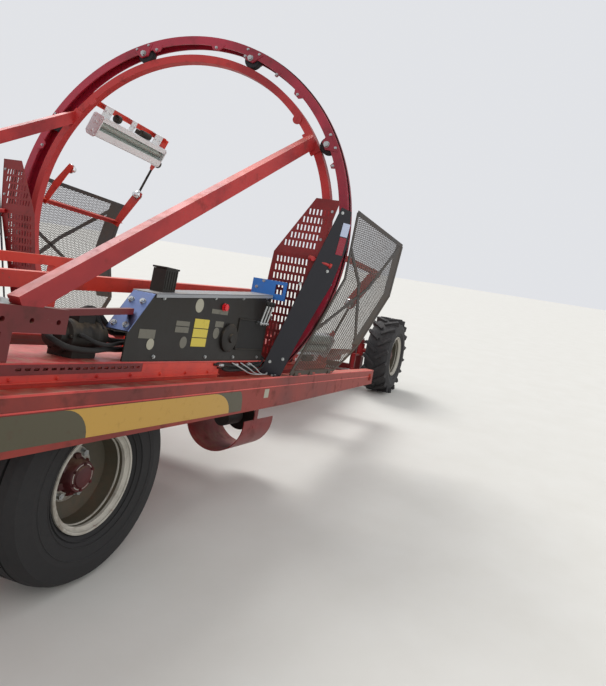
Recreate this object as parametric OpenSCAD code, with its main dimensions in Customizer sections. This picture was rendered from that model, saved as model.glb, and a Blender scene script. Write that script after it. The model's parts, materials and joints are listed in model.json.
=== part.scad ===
// Towed in-line round-bale wrapper.
// Everything but the tongue is laid out in the frame's own axes: x forward along the side beams,
// y to the machine's left, z square to the beams' top face, with x = 0 in the wrapping ring's plane.
// The whole frame then stands nose-up on its wheels by frame_pitch.

/* [Stance] */
// Nose-up angle of the frame over level ground
frame_pitch = 7; // [5:0.5:8]
// Height of the beams' top face above the ground, under the ring
deck_line_z = 640; // [600:5:700]

/* [Side beams] */
// Outer face of each side beam, from the centre line
beam_outer_y = 1040; // [1030:5:1100]
// Width of a beam's flanges
beam_w = 80; // [60:2:90]
// Plate thickness of the beams
beam_wall = 8; // [5:1:12]
// Height of a beam at its front end
beam_h_front = 200; // [180:5:240]
// Height of a beam under the ring
beam_h_ring = 175; // [172:1:200]
// Height of a beam at its rear end
beam_h_rear = 125; // [110:5:160]
// Front end of the beams
beam_front_x = 2900; // [2850:10:3100]
// Rear end of the beams
beam_rear_x = -1850; // [-2000:10:-1820]
// Diameter of the pivot plug near each beam's rear end
beam_plug_d = 62; // [40:2:70]

/* [Cross-members] */
// Length of a cross-member along the machine
cross_w = 90; // [70:5:110]
// Height of the front cross-members
cross_h = 55; // [50:1:57]
// Top of the front cross-members, below the beams' top
cross_drop = 110; // [105:1:115]
// Top of the rear cross-members, below the beams' top
rear_cross_drop = 60; // [50:1:65]

/* [Bale table] */
// Half width of the trough's flat
trough_flat_y = 250; // [250:10:300]
// Half width of the trough at its lips
trough_lip_y = 520; // [480:10:540]
// Height of the trough's lips above its flat
trough_rise = 120; // [80:5:150]
// Half width of the rear trough at its lips, between the wheels
tail_lip_y = 445; // [400:5:450]
// Height of the rear trough's lips above its flat
tail_rise = 90; // [60:5:110]
// Thickness of the trough's sheet
trough_sheet = 6; // [4:1:10]
// Centre line of each table rail
rail_y = 205; // [180:5:210]
// Width of a table rail
rail_w = 80; // [60:5:100]
// Running gap under the pusher's carriage
slide_gap = 0.3; // [0.2:0.1:1]
// Front end of the front table
front_table_x = 2550; // [2500:10:2700]
// Rear end of the front table, in the hoop
table_stop_x = 30; // [30:5:40]
// Front end of the rear table, behind the film carriers
rear_table_x = 1010; // [1000:5:1060]
// Rear end of the rear table
tail_x = 3200; // [3100:10:3300]

/* [Wrapping ring] */
// Height of the ring's centre above the beams' top
ring_z = 830; // [825:1:860]
// Inner radius of the fixed hoop
hoop_r = 1080; // [1040:5:1085]
// Side of the hoop's square tube
hoop_tube = 50; // [40:1:54]
// Radius of a ring roller
roller_r = 54; // [40:1:56]
// Width of a ring roller
roller_w = 44; // [30:1:56]
// Running gap between a roller and the hoop
roller_gap = 0.5; // [0.3:0.1:1]
// Number of ring rollers
roller_n = 9; // [6:1:10]
// Angle of the first ring roller, from the left side
roller_angle = 31; // [20:1:40]
// Width of the ring's channel
ring_w = 80; // [70:1:90]
// Plate thickness of the ring's channel
ring_wall = 7; // [5:1:8]
// Depth of the ring's channel
ring_depth = 56; // [45:1:60]
// Height of the roller chain on the ring's rim
chain_h = 8; // [5:1:10]
// Width of the roller chain on the ring's rim
chain_w = 16; // [12:1:24]

/* [Film carriers] */
// Angle of the first film carrier round the ring, from the left side
carrier_angle = 158; // [0:5:180]
// How far the film carriers reach behind the ring
carrier_reach = 960; // [860:10:970]
// Half angle between a carrier's two arms
carrier_spread = 20; // [18:0.5:23]
// Radius of the carrier arms' line round the ring's axis
carrier_r = 1190; // [1180:1:1200]
// Side of a carrier arm's square tube
carrier_tube = 40; // [30:1:45]

/* [Deck and guides] */
// Rear end of the deck plates over the front wheels
deck_x0 = 140; // [138:1:150]
// Front end of the deck plates
deck_x1 = 2000; // [1960:5:2004]
// Inner edge of the deck plates
deck_y0 = 580; // [560:5:600]
// Outer edge of the deck plates
deck_y1 = 950; // [940:1:955]
// Underside of the deck plates
deck_z = 75; // [70:1:80]
// Thickness of the deck plates
deck_sheet = 5; // [3:1:8]
// Rear end of the slotted rails
slot_rail_x = 1310; // [1305:5:1340]
// Width of a slotted rail
slot_rail_w = 60; // [40:5:80]
// Height of a slotted rail
slot_rail_h = 35; // [30:1:60]
// Pitch of the slots
slot_pitch = 36; // [30:2:60]
// Height of a brace's tube
brace_tube = 75; // [50:5:90]
// Width of a brace's tube
brace_w = 48; // [40:1:60]
// Top of the brace mounts
brace_mount_h = 260; // [240:5:280]
// Inner face of the bale guide tubes
guide_y = 640; // [620:5:680]
// Underside of the bale guide tubes in the ring's plane
guide_z = 425; // [400:5:440]
// Fall of the bale guide tubes towards the front
guide_fall = 4; // [2:0.5:5]
// Side of a bale guide tube
guide_tube = 60; // [40:5:70]
// Thickness of the sheet guards
guard_sheet = 5; // [3:1:8]
// Front edge of the side strips
strip_x = 225; // [222:1:232]
// Inner edge of the side strips at the foot
strip_y = 936; // [934:1:960]
// Height of the side strips
strip_top_z = 1030; // [1000:10:1060]

/* [Ring drive] */
// Radius of the drive sprocket
sprocket_r = 95; // [80:1:100]
// Angle of the drive below the ring's centre
drive_angle = 56; // [54:1:58]
// Radius of the drive's guard
drive_guard_r = 185; // [170:5:190]

/* [Control box] */
// Length of the control box
box_l = 1190; // [1100:5:1194]
// Depth of the control box
box_d = 110; // [100:5:120]
// Height of the control box
box_h = 270; // [240:5:320]
// Rear end of the control box
box_x = 240; // [236:1:244]
// Inner face of the control box
box_y = 830; // [825:1:834]
// Rise of the control box's lid towards the rear
box_rise = 5.3; // [4:0.1:7]

/* [Wheels] */
// Outer radius of the front tyres
front_tyre_r = 410; // [400:1:415]
// Width of the front tyres
front_tyre_w = 300; // [260:5:300]
// Outer radius of the rear tyres over the lugs
rear_tyre_r = 400; // [380:1:410]
// Width of the rear tyres
rear_tyre_w = 280; // [240:5:300]
// Radius of the rims' flanges
rim_r = 210; // [200:1:215]
// Radius of the wheel spindles
spindle_r = 25; // [20:1:30]
// Radial clearance of a wheel on its spindle
spindle_fit = 0.05; // [0.02:0.01:0.1]
// Front axle, ahead of the ring
front_axle_x = 1400; // [1350:10:1450]
// Rear axle, behind the ring
rear_axle_x = -2900; // [-2950:10:-2860]
// Centre of each front wheel
front_wheel_y = 780; // [775:1:785]
// Centre of each rear wheel
rear_wheel_y = 840; // [820:5:845]
// Kingpin of each rear wheel
kingpin_y = 560; // [550:5:570]
// Radius of the kingpins
kingpin_r = 22; // [18:1:26]

// Inner face of the front hubs
hub_inner_y = 715; // [705:1:720]
// Centre line of the front axle's struts
axle_strut_y = 540; // [500:5:560]
// Height of the dropped rear axle tube
axle_tube = 100; // [80:5:110]
// Radius of the tie rod's pins
tie_pin_r = 12; // [8:1:14]

/* [Tongue] */
// Length of the tongue from its hinge to the hitch eye
tongue_l = 1680; // [1500:10:1900]
// Fall of the tongue below level
tongue_fall = 10.8; // [8:0.1:14]
// Bore of the hitch eye
hitch_bore_d = 51; // [40:1:60]
// Thickness of the hitch eye
hitch_eye_h = 45; // [35:1:60]
// Half spread of the tongue's hinge lugs
tongue_spread = 330; // [280:10:380]
// Radius of the tongue's hinge pins
tongue_pin_r = 16; // [12:1:20]

/* [Hidden] */
$fn = 96;

red = "#b3242a";
dark_red = "#7e1a1f";
black = "#15161c";
grey = "#8a8d90";
pale = "#cfcabd";
rubber = "#1b1b1c";
mesh_grey = "#5a5c57";

beam_inner_y = beam_outer_y - beam_w;
cross_top = -cross_drop;
front_cross_x = [beam_front_x - beam_wall - cross_w / 2, 1960, 880, 180];
table_top = -10;
rear_table_top = 0;
rail_deck_z = 20;
roller_pin_r = 14;
hoop_outer_r = hoop_r + hoop_tube;
roller_axis_r = hoop_outer_r + roller_gap + roller_r;
web_inner_r = roller_axis_r + roller_r + 3;
web_outer_r = web_inner_r + ring_wall;
ring_outer_r = web_outer_r + chain_h;
flange_inner_r = web_outer_r - ring_depth;

function hub_z(x, r) = (r - deck_line_z - x * sin(frame_pitch)) / cos(frame_pitch);
front_hub_z = hub_z(front_axle_x, front_tyre_r);
rear_hub_z = hub_z(rear_axle_x, rear_tyre_r);

// The part's origin lies midway between the hitch eye's front and the rear tyres' backs
function level_x(x, z) = x * cos(frame_pitch) - z * sin(frame_pitch);
hinge_x = beam_front_x + 50;
hinge_z = cross_top - cross_h / 2;
hitch_eye_r = hitch_bore_d / 2 + 25;
front_end_x = level_x(hinge_x, hinge_z) + tongue_l * cos(tongue_fall) + hitch_eye_r;
rear_end_x = level_x(rear_axle_x, rear_hub_z) - rear_tyre_r;
centre_x = (front_end_x + rear_end_x) / 2;

module on_frame() {
    translate([-centre_x, 0, deck_line_z])
        rotate([0, -frame_pitch, 0])
            children();
}

module box(x0, x1, y0, y1, z0, z1) {
    translate([x0, y0, z0])
        cube([x1 - x0, y1 - y0, z1 - z0]);
}

// A box on each side of the centre line
module both_sides() {
    children();
    mirror([0, 1, 0]) children();
}

// A solid along x from x0 to x1 with its section drawn in (y, z)
module along_x(x0, x1) {
    translate([x0, 0, 0])
        rotate([90, 0, 90])
            linear_extrude(x1 - x0)
                children();
}

// A solid from y0 to y1 with its outline drawn in (x, z)
module along_y(y0, y1) {
    translate([0, y1, 0])
        rotate([90, 0, 0])
            linear_extrude(y1 - y0)
                children();
}

// A round bar along y
module rod_y(x, z, r, y0, y1) {
    translate([x, y0, z])
        rotate([-90, 0, 0])
            cylinder(r = r, h = y1 - y0);
}

// A round bar along z
module rod_z(x, y, r, z0, z1) {
    translate([x, y, z0])
        cylinder(r = r, h = z1 - z0);
}

// A round bar along x
module rod_x(y, z, r, x0, x1) {
    translate([x0, y, z])
        rotate([0, 90, 0])
            cylinder(r = r, h = x1 - x0);
}

// A bar from point a to point b: w is its side, and across its width where that differs
module strut(a, b, w, across = 0) {
    d = b - a;
    l = norm(d);
    translate(a)
        rotate([0, acos(d[2] / l), atan2(d[1], d[0])])
            translate([-w / 2, -(across ? across : w) / 2, 0])
                cube([w, across ? across : w, l]);
}

// Side beams: C sections, open inwards, that taper towards the rear
function beam_h(x) = x > 0
    ? beam_h_ring + (beam_h_front - beam_h_ring) * x / beam_front_x
    : beam_h_ring + (beam_h_rear - beam_h_ring) * x / beam_rear_x;

module beam_outline(inset) {
    polygon([[beam_rear_x + inset, -inset],
             [beam_rear_x + inset, inset - beam_h_rear],
             [0, inset - beam_h_ring],
             [beam_front_x - inset, inset - beam_h_front],
             [beam_front_x - inset, -inset]]);
}

module beam() {
    plug_x = beam_rear_x + 90;
    difference() {
        along_y(beam_inner_y, beam_outer_y) beam_outline(0);
        along_y(beam_inner_y - 1, beam_outer_y - beam_wall) beam_outline(beam_wall);
    }
    rod_y(plug_x, -beam_h_rear / 2, beam_plug_d / 2, beam_outer_y, beam_outer_y + 12);
    rod_y(plug_x, -beam_h_rear / 2, beam_plug_d / 4, beam_outer_y + 12, beam_outer_y + 16);
    guard_leaves();
}

module left_beam() color(red) on_frame() beam();
module right_beam() color(red) on_frame() mirror([0, 1, 0]) beam();

// Cross-members between the beams' webs: [centre x, top z, height]
rear_cross_x = [-1150, -1760];
module cross_members() {
    reach = beam_outer_y - beam_wall;
    color(dark_red) on_frame() {
        for (x = front_cross_x)
            box(x - cross_w / 2, x + cross_w / 2, -reach, reach, cross_top - cross_h, cross_top);
        for (x = rear_cross_x)
            box(x - cross_w / 2, x + cross_w / 2, -reach, reach,
                2 * beam_wall - beam_h(x - cross_w / 2), -rear_cross_drop);
        both_sides() {
            for (y = [tongue_spread - 66, tongue_spread + 54])
                box(beam_front_x - beam_wall, hinge_x + 35, y, y + 12, hinge_z - 35, hinge_z + 35);
            rod_y(hinge_x, hinge_z, tongue_pin_r, tongue_spread - 74, tongue_spread + 74);
        }
    }
}

// Bale table: a bent trough on two rails, ahead of the ring and again behind the film's path
module trough(x0, x1, z, lip_y, rise) {
    along_x(x0, x1)
        polygon([[-lip_y, z + rise],
                 [-trough_flat_y, z],
                 [trough_flat_y, z],
                 [lip_y, z + rise],
                 [lip_y, z + rise + trough_sheet],
                 [trough_flat_y, z + trough_sheet],
                 [-trough_flat_y, z + trough_sheet],
                 [-lip_y, z + rise + trough_sheet]]);
}

module table(x0, x1, z0, z1, lip_y, rise) {
    trough(x0, x1, z1, lip_y, rise);
    both_sides()
        box(x0, x1, rail_y - rail_w / 2, rail_y + rail_w / 2, z0, z1);
}

module front_table() {
    color("#d8463f") on_frame()
        table(-table_stop_x, front_table_x, cross_top, table_top, trough_lip_y, trough_rise);
}

module rear_table() {
    color(red) on_frame() {
        table(-tail_x, -rear_table_x, -rear_cross_drop, rear_table_top, tail_lip_y, tail_rise);
        box(-tail_x, -tail_x + 60, -trough_flat_y, trough_flat_y, rear_table_top - 45, rear_table_top);
    }
}

// Deck plates over the front wheels, with their front and rear skirts on the cross-members
module wheel_decks() {
    color("#e0645c") on_frame() both_sides() {
        box(deck_x0, deck_x1, deck_y0, deck_y1, deck_z, deck_z + deck_sheet);
        for (x = [deck_x0, deck_x1 - deck_sheet])
            box(x, x + deck_sheet, deck_y0, deck_y1, cross_top, deck_z);
    }
}

// Slotted rails under the deck's outer edges, open inwards
module slotted_rails() {
    y0 = deck_y1 - slot_rail_w;
    z0 = deck_z - slot_rail_h;
    color(dark_red) on_frame() both_sides()
        difference() {
            box(slot_rail_x, deck_x1 - deck_sheet, y0, deck_y1, z0, deck_z);
            box(slot_rail_x - 1, deck_x1, y0 - 1, deck_y1 - beam_wall / 2, z0 + beam_wall / 2,
                deck_z - beam_wall / 2);
            for (x = [slot_rail_x + slot_pitch / 2 : slot_pitch : deck_x1 - 2 * slot_pitch])
                box(x, x + slot_pitch * 0.6, deck_y1 - beam_wall, deck_y1 + 1,
                    z0 + slot_rail_h * 0.4, z0 + slot_rail_h * 0.65);
        }
}

// Fixed hoop of square tube that carries the ring, with its feet on the cross-member ahead of it
module ring_axis_at_origin() {
    translate([0, 0, ring_z])
        rotate([0, 90, 0])
            children();
}

module tube_ring(r0, r1, w) {
    ring_axis_at_origin()
        rotate_extrude($fn = 180)
            translate([r0, -w / 2])
                square([r1 - r0, w]);
}

module hoop() {
    foot_x = front_cross_x[3] - cross_w / 2;
    foot_z = cross_top - cross_h / 2;
    foot_y = sqrt(pow(hoop_r + hoop_tube / 2, 2) - pow(ring_z - foot_z, 2));
    color(red) on_frame() {
        tube_ring(hoop_r, hoop_outer_r, hoop_tube);
        both_sides()
            box(hoop_tube / 2 - 1, foot_x, foot_y - 36, foot_y + 36, foot_z - 25, foot_z + 25);
        translate([0, 0, ring_z])
            for (a = [44, 136])
                rotate([a, 0, 0])
                    rod_x(hoop_r + 6, 0, 30, hoop_tube / 2 - 3, hoop_tube / 2 + 5);
    }
}

// Braces from the mounts on the beams up to the hoop's front face
brace_foot = [deck_x1 - 65, deck_y1 - 35, brace_mount_h - 6];
brace_angle = 34;
brace_head = [hoop_tube / 2 + 20, (hoop_r + hoop_tube / 2) * cos(brace_angle),
              ring_z + (hoop_r + hoop_tube / 2) * sin(brace_angle)];
module brace() {
    on_frame()
        difference() {
            union() {
                intersection() {
                    strut(brace_foot, brace_head + (brace_head - brace_foot) * 0.05, brace_tube,
                          brace_w);
                    box(hoop_tube / 2, front_table_x, 0, beam_outer_y, brace_mount_h, ring_z * 2.2);
                }
                translate([hoop_tube / 2, brace_head[1], brace_head[2]])
                    rotate([brace_angle, 0, 0])
                        box(0, 12, -45, 45, -75, 75);
            }
            tube_ring(hoop_outer_r, ring_outer_r, 2 * ring_w);
        }
}

module left_brace() color(red) brace();
module right_brace() color(red) mirror([0, 1, 0]) brace();

// Brace mounts: a rail on a post at the deck's front end, with a bar back to the box's corner
deck_top = deck_z + deck_sheet;
module brace_mounts() {
    y0 = deck_y1 - 70;
    z1 = brace_mount_h;
    x0 = box_x + box_l + 310;
    bar_x = box_x + box_l - 130 * 0.42;
    bar_z = deck_top + box_h * 0.42 + (box_lid(box_l - 130) - box_h * 0.42) * 0.42;
    color(dark_red) on_frame() both_sides()
        difference() {
            union() {
                box(x0, deck_x1 + 250, y0, deck_y1 - 10, z1 - 85, z1);
                box(deck_x1 - 45, deck_x1 - 5, y0, deck_y1 - 10, deck_top, z1 - 80);
                along_y(y0 + 5, y0 + 30)
                    polygon([[bar_x, bar_z + 2], [bar_x, bar_z + 26], [x0 + 5, z1 - 1],
                             [x0 + 5, z1 - 25]]);
            }
            for (x = [x0 + 40 : 110 : deck_x1 + 210])
                rod_y(x, z1 - 45, 9, y0 - 1, deck_y1 + 1);
        }
}

// Bale guide tubes beside the trough, on posts from the deck plates
function guide_under(x) = guide_z - x * tan(guide_fall);
module guide_tubes() {
    x0 = 10 - table_stop_x;
    x1 = 2520;
    color("#cf3a33") on_frame() both_sides() {
        along_y(guide_y, guide_y + guide_tube)
            polygon([[x0, guide_under(x0)], [x1, guide_under(x1)],
                     [x1, guide_under(x1) + guide_tube], [x0, guide_under(x0) + guide_tube]]);
        for (x = [deck_x0 + 10, 1000, deck_x1 - 120])
            along_y(guide_y, guide_y + guide_tube)
                polygon([[x, deck_top], [x + guide_tube, deck_top],
                         [x + guide_tube, guide_under(x + guide_tube) + 1], [x, guide_under(x) + 1]]);
    }
}

// Ring guards: a bent sheet ahead of the ring, in rows of upright slots.
// The bend is [x, height], and the edges are [height, inner y, outer y], from the foot up.
ring_guard_bend = [[110, 0], [215, 725], [205, 1070]];
ring_guard_edges = [[0, 800, 985], [725, 885, 1165], [1070, 1085, 1236]];
guard_slot_w = 11;
guard_slot_h = 34;
guard_slot_pitch = 23;
guard_row_pitch = 50;
function inner_edge(z) = lookup(z, [for (e = ring_guard_edges) [e[0], e[1]]]);
function outer_edge(z) = lookup(z, [for (e = ring_guard_edges) [e[0], e[2]]]);

module guard_outline() {
    n = len(ring_guard_edges) - 1;
    difference() {
        polygon(concat([for (e = ring_guard_edges) [e[1], e[0]]],
                       [for (i = [n : -1 : 0]) [ring_guard_edges[i][2], ring_guard_edges[i][0]]]));
        for (z = [120 : guard_row_pitch : 1010])
            if (abs(z + guard_slot_h / 2 - ring_guard_bend[1][1]) > guard_slot_h)
                for (y = [inner_edge(z) + 30 : guard_slot_pitch : outer_edge(z) - 25 - guard_slot_w])
                    translate([y, z])
                        square([guard_slot_w, guard_slot_h]);
    }
}

module ring_guard() {
    on_frame()
        intersection() {
            along_y(700, 1300)
                polygon(concat(ring_guard_bend,
                               [for (i = [2 : -1 : 0])
                                    [ring_guard_bend[i][0] - guard_sheet, ring_guard_bend[i][1]]]));
            along_x(50, 300) guard_outline();
        }
}

module left_ring_guard() color(dark_red) ring_guard();
module right_ring_guard() color(dark_red) mirror([0, 1, 0]) ring_guard();

// Dark side strips: flat sheets that lean out and turn back from the ring guards' outer edges.
// The outline is [how far back and out, height], and each strip stands on a foot on its beam.
strip_lean = 0.3134;
strip_outline = [[0, -20], [94, -20], [94, 190], [104, 385], [116, 585], [102, 817], [48, strip_top_z - 10],
                 [0, strip_top_z]];
module strip() {
    on_frame() {
        difference() {
            translate([strip_x, strip_y, 0])
                rotate([0, 0, 135])
                    rotate([atan(strip_lean / sqrt(2)), 0, 0])
                        along_y(-guard_sheet, 0)
                            polygon([for (p = strip_outline)
                                         [p[0] * sqrt(2) + p[1] * strip_lean / sqrt(2),
                                          p[1] * sqrt(1 + strip_lean * strip_lean / 2)]]);
            box(0, 400, 800, 1200, -60, 0);
        }
        box(strip_x - 85, strip_x - 20, beam_inner_y + 5, beam_outer_y - 15, 0, guard_sheet);
    }
}

module left_strip() color(black) strip();
module right_strip() color(black) mirror([0, 1, 0]) strip();

// Ring drive: a hydraulic motor with a sprocket in the ring's chain, hung from the cross-member
drive_r = ring_outer_r + 5 + sprocket_r;
drive_y = drive_r * cos(drive_angle);
drive_z = ring_z - drive_r * sin(drive_angle);
hang_x = front_cross_x[3] - cross_w / 2 + 10;
module ring_drive() {
    x0 = ring_w / 2 + 20;
    color(black) on_frame() {
        rod_x(drive_y, drive_z, sprocket_r, -6, 6);
        rod_x(drive_y, drive_z, 18, 6, x0);
        rod_x(drive_y, drive_z, 48, x0, x0 + 170);
        box(hang_x, hang_x + 50, drive_y - 50, drive_y + 50, drive_z + 30, cross_top - cross_h);
    }
}

// Guard of the ring drive: a round trough below it, on two straps from the cross-member
module drive_guard() {
    r = drive_guard_r;
    color(red) on_frame() {
        along_x(-ring_w / 2 - 30, front_cross_x[3] + 120)
            translate([drive_y, drive_z])
                difference() {
                    circle(r = r);
                    circle(r = r - guard_sheet);
                    translate([-r - 1, 20])
                        square([2 * r + 2, r]);
                    translate([-drive_y, ring_z - drive_z])
                        circle(r = ring_outer_r + 8, $fn = 180);
                }
        for (y = [drive_y - r, drive_y + r - guard_sheet])
            box(hang_x, hang_x + 40, y, y + guard_sheet, drive_z - 30, cross_top - cross_h);
    }
}

// Control box on the left deck: its lid rises to the rear, and its front corner is chamfered
function box_lid(x) = box_h + (box_l - x) * tan(box_rise);
module on_box() {
    on_frame()
        translate([box_x, box_y, deck_top])
            children();
}

module control_box() {
    corner = [[box_l, box_h * 0.42], [box_l - 130, box_lid(box_l - 130)]];
    color(black) on_box() {
        along_y(box_d - 6, box_d)
            polygon(concat([[0, 0], [box_l, 0]], corner, [[0, box_lid(0)]]));
        along_y(0, box_d - 3)
            polygon([[0, 0], [box_l - 200, 0], [box_l - 200, box_lid(box_l - 200) - 8],
                     [box_l - 138, box_lid(box_l - 138) - 8], corner[0] - [10, 0], corner[0],
                     corner[1], [0, box_lid(0)]]);
        along_y(20, 85)
            polygon([[898, box_lid(898) - 5], [984, box_lid(984) - 5],
                     [984, box_lid(984) + 105], [898, box_lid(898) + 105]]);
    }
}

module control_levers() {
    color("silver") on_box()
        for (i = [0 : 2])
            translate([60 + 36 * i, box_d, box_h * 0.8]) {
                rod_y(0, 0, 7, 0, 25);
                translate([0, 25, 0])
                    rotate([-12, 0, 0])
                        cylinder(r = 6, h = 110);
            }
}

module control_bracket() {
    z1 = box_lid(0);
    color("#4a6fa0") on_box()
        difference() {
            box(-8, 0, box_d - 140, box_d + 80, z1 - 20, z1 + 90);
            box(-9, 1, box_d + 10, box_d + 60, z1 + 15, z1 + 70);
        }
}

// Hydraulic motor of the pusher, on the left deck ahead of the box
module feed_motor() {
    x0 = box_x + box_l + 12;
    y = box_y - 10;
    z = deck_top + 80;
    color(black) on_frame() {
        box(x0 + 60, x0 + 180, y - 55, y + 55, deck_top, z - 30);
        rod_x(y, z, 50, x0, x0 + 50);
        rod_x(y, z, 62, x0 + 50, x0 + 195);
        rod_x(y, z, 46, x0 + 195, x0 + 240);
        box(x0 + 70, x0 + 150, y - 32, y + 32, z + 40, z + 80);
    }
}

// Engine and oil tank on the front deck, over the tongue
engine_x = beam_front_x - 90;
module engine() {
    x = engine_x;
    z = rail_deck_z;
    color("#2b2c2f") on_frame() {
        box(x - 190, x + 190, -600, -200, z, z + 60);
        box(x - 150, x + 150, -600, -240, z + 60, z + 290);
        rod_y(x, z + 185, 130, -240, -180);
        rod_y(x, z + 185, 70, -180, -140);
        along_x(x - 170, x + 130)
            translate([-470, z + 290])
                offset(r = 30)
                    square([140, 60]);
        box(x - 60, x + 120, -660, -600, z + 130, z + 250);
        box(x + 150, x + 200, -560, -330, z + 150, z + 270);
    }
}

module oil_tank() {
    x = engine_x;
    z = rail_deck_z;
    color(dark_red) on_frame() {
        difference() {
            box(x - 220, x + 220, -700, 700, z - 8, z);
            box(x - 170, x + 170, 100, 160, z - 9, z + 1);
        }
        box(x - 190, x + 190, 200, 640, z, z + 340);
        rod_z(x - 110, 300, 30, z + 340, z + 365);
        both_sides()
            box(x, x + 85, 560, 660, cross_top, z - 8);
    }
}

// Front axle: a tube at hub height, hung from the front cross-members by two sloping struts a side
module front_axle() {
    hub = front_hub_z;
    color(dark_red) on_frame() {
        box(front_axle_x - 45, front_axle_x + 45, -hub_inner_y, hub_inner_y, hub - 45, hub + 45);
        both_sides() {
            intersection() {
                for (x = [front_cross_x[2], front_cross_x[1]])
                    strut([front_axle_x, axle_strut_y, hub],
                          [x, axle_strut_y, cross_top - cross_h + 35], 70);
                box(0, 3000, 0, 1000, hub - 30, cross_top - cross_h);
            }
            rod_y(front_axle_x, hub, spindle_r, hub_inner_y, front_wheel_y + 30);
        }
    }
}

// Rear axle: a dropped tube under the table, with forks for the kingpins
module rear_axle() {
    hub = rear_hub_z;
    z1 = -rear_cross_drop;
    color(dark_red) on_frame() {
        box(rear_axle_x - 45, rear_axle_x + 45, -kingpin_y + 45, kingpin_y - 45, z1 - axle_tube, z1);
        both_sides() {
            box(rear_axle_x - 45, rear_axle_x + 45, kingpin_y - 45, kingpin_y + 35, z1 - axle_tube,
                hub - 70);
            box(rear_axle_x - 45, rear_axle_x + 45, kingpin_y - 90, kingpin_y - 45,
                z1 - axle_tube, hub + 110);
            box(rear_axle_x - 45, rear_axle_x + 45, kingpin_y - 90, kingpin_y + 35, hub + 75,
                hub + 110);
            translate([rear_axle_x, kingpin_y, hub - 71])
                cylinder(r = kingpin_r, h = 147);
        }
    }
}

// Rear knuckles turn on the kingpins and carry the wheels' spindles; a cranked arm drops to
// the tie rod, which crosses under the table's rails
knuckle_arm = 190;
tie_eye_z = -100;
module knuckle() {
    hub = rear_hub_z;
    arm_x = rear_axle_x + knuckle_arm;
    difference() {
        union() {
            rod_z(rear_axle_x, kingpin_y, 38, hub - 65, hub + 70);
            rod_y(rear_axle_x, hub, spindle_r, kingpin_y, rear_wheel_y + 30);
            box(rear_axle_x, arm_x + 18, kingpin_y - 18, kingpin_y + 18, hub - 65, hub - 45);
            box(arm_x - 18, arm_x + 18, kingpin_y - 18, kingpin_y + 18, tie_eye_z + 20, hub - 65);
            rod_z(arm_x, kingpin_y, 26, tie_eye_z, tie_eye_z + 20);
        }
        rod_z(rear_axle_x, kingpin_y, kingpin_r + spindle_fit, hub - 72, hub + 78);
        rod_z(arm_x, kingpin_y, tie_pin_r + spindle_fit, tie_eye_z - 1, tie_eye_z + 22);
    }
}

module left_knuckle() color(red) on_frame() knuckle();
module right_knuckle() color(red) on_frame() mirror([0, 1, 0]) knuckle();

module tie_rod() {
    x = rear_axle_x + knuckle_arm;
    color("silver") on_frame() {
        rod_y(x, tie_eye_z - 13, 11, -kingpin_y, kingpin_y);
        both_sides() {
            rod_z(x, kingpin_y, 26, tie_eye_z - 27, tie_eye_z - 0.5);
            rod_z(x, kingpin_y, tie_pin_r, tie_eye_z - 1, tie_eye_z + 20);
        }
    }
}

// Wheels: each tyre and rim is drawn round its own axis, with z outwards
module tyre_carcass(r, w, rim_w) {
    bead = rim_w / 2 - 24;
    half = [[rim_r - 14, bead], [rim_r + 10, rim_w / 2 - 4], [rim_r + 45, w / 2 - 4],
            [(rim_r + r) / 2 + 12, w / 2], [r - 28, w / 2 - 12], [r - 8, w / 2 - 42],
            [r, w / 4]];
    rotate_extrude()
        polygon(concat([for (p = half) [p[0], -p[1]]],
                       [for (i = [len(half) - 1 : -1 : 0]) half[i]]));
}

module front_tyre() {
    difference() {
        tyre_carcass(front_tyre_r, front_tyre_w, front_tyre_w - 50);
        for (z = [-75, -25, 25, 75])
            translate([0, 0, z - 5])
                difference() {
                    cylinder(r = front_tyre_r + 5, h = 10);
                    translate([0, 0, -1]) cylinder(r = front_tyre_r - 12, h = 12);
                }
    }
}

lug_h = 24;
lug_n = 18;
module rear_tyre() {
    carcass_r = rear_tyre_r - lug_h;
    tyre_carcass(carcass_r, rear_tyre_w - 16, rear_tyre_w - 50);
    intersection() {
        cylinder(r = rear_tyre_r, h = rear_tyre_w, center = true);
        for (side = [0, 1])
            mirror([0, 0, side])
                for (i = [0 : lug_n - 1])
                    rotate((i + side / 2) * 360 / lug_n)
                        translate([carcass_r - 34, 40, 2])
                            rotate([36, 0, 0])
                                translate([0, -15, 0])
                                    cube([lug_h + 60, 30, 152]);
    }
}

module rim(w) {
    rim_w = w - 50;
    edge = rim_w / 2;
    difference() {
        rotate_extrude()
            polygon([[rim_r, -edge], [rim_r, 10 - edge], [rim_r - 14, 24 - edge],
                     [rim_r - 14, edge - 24], [rim_r, edge - 10], [rim_r, edge],
                     [rim_r - 8, edge], [rim_r - 24, edge - 24], [rim_r - 32, 10],
                     [110, -6], [78, 12], [58, 12], [52, 62], [0, 62],
                     [0, -56], [58, -56], [62, -6], [110, -20],
                     [rim_r - 38, -6], [rim_r - 24, 24 - edge], [rim_r - 8, -edge]]);
        translate([0, 0, -57])
            cylinder(r = spindle_r + spindle_fit, h = 92);
    }
}

// Puts a wheel drawn round z at an axle's left end, with its outer face to the left
module at_left_hub(x, y, z) {
    on_frame()
        translate([x, y, z])
            rotate([-90, 0, 0])
                children();
}

module at_front_left() at_left_hub(front_axle_x, front_wheel_y, front_hub_z) children();
module at_rear_left() at_left_hub(rear_axle_x, rear_wheel_y, rear_hub_z) children();

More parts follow.
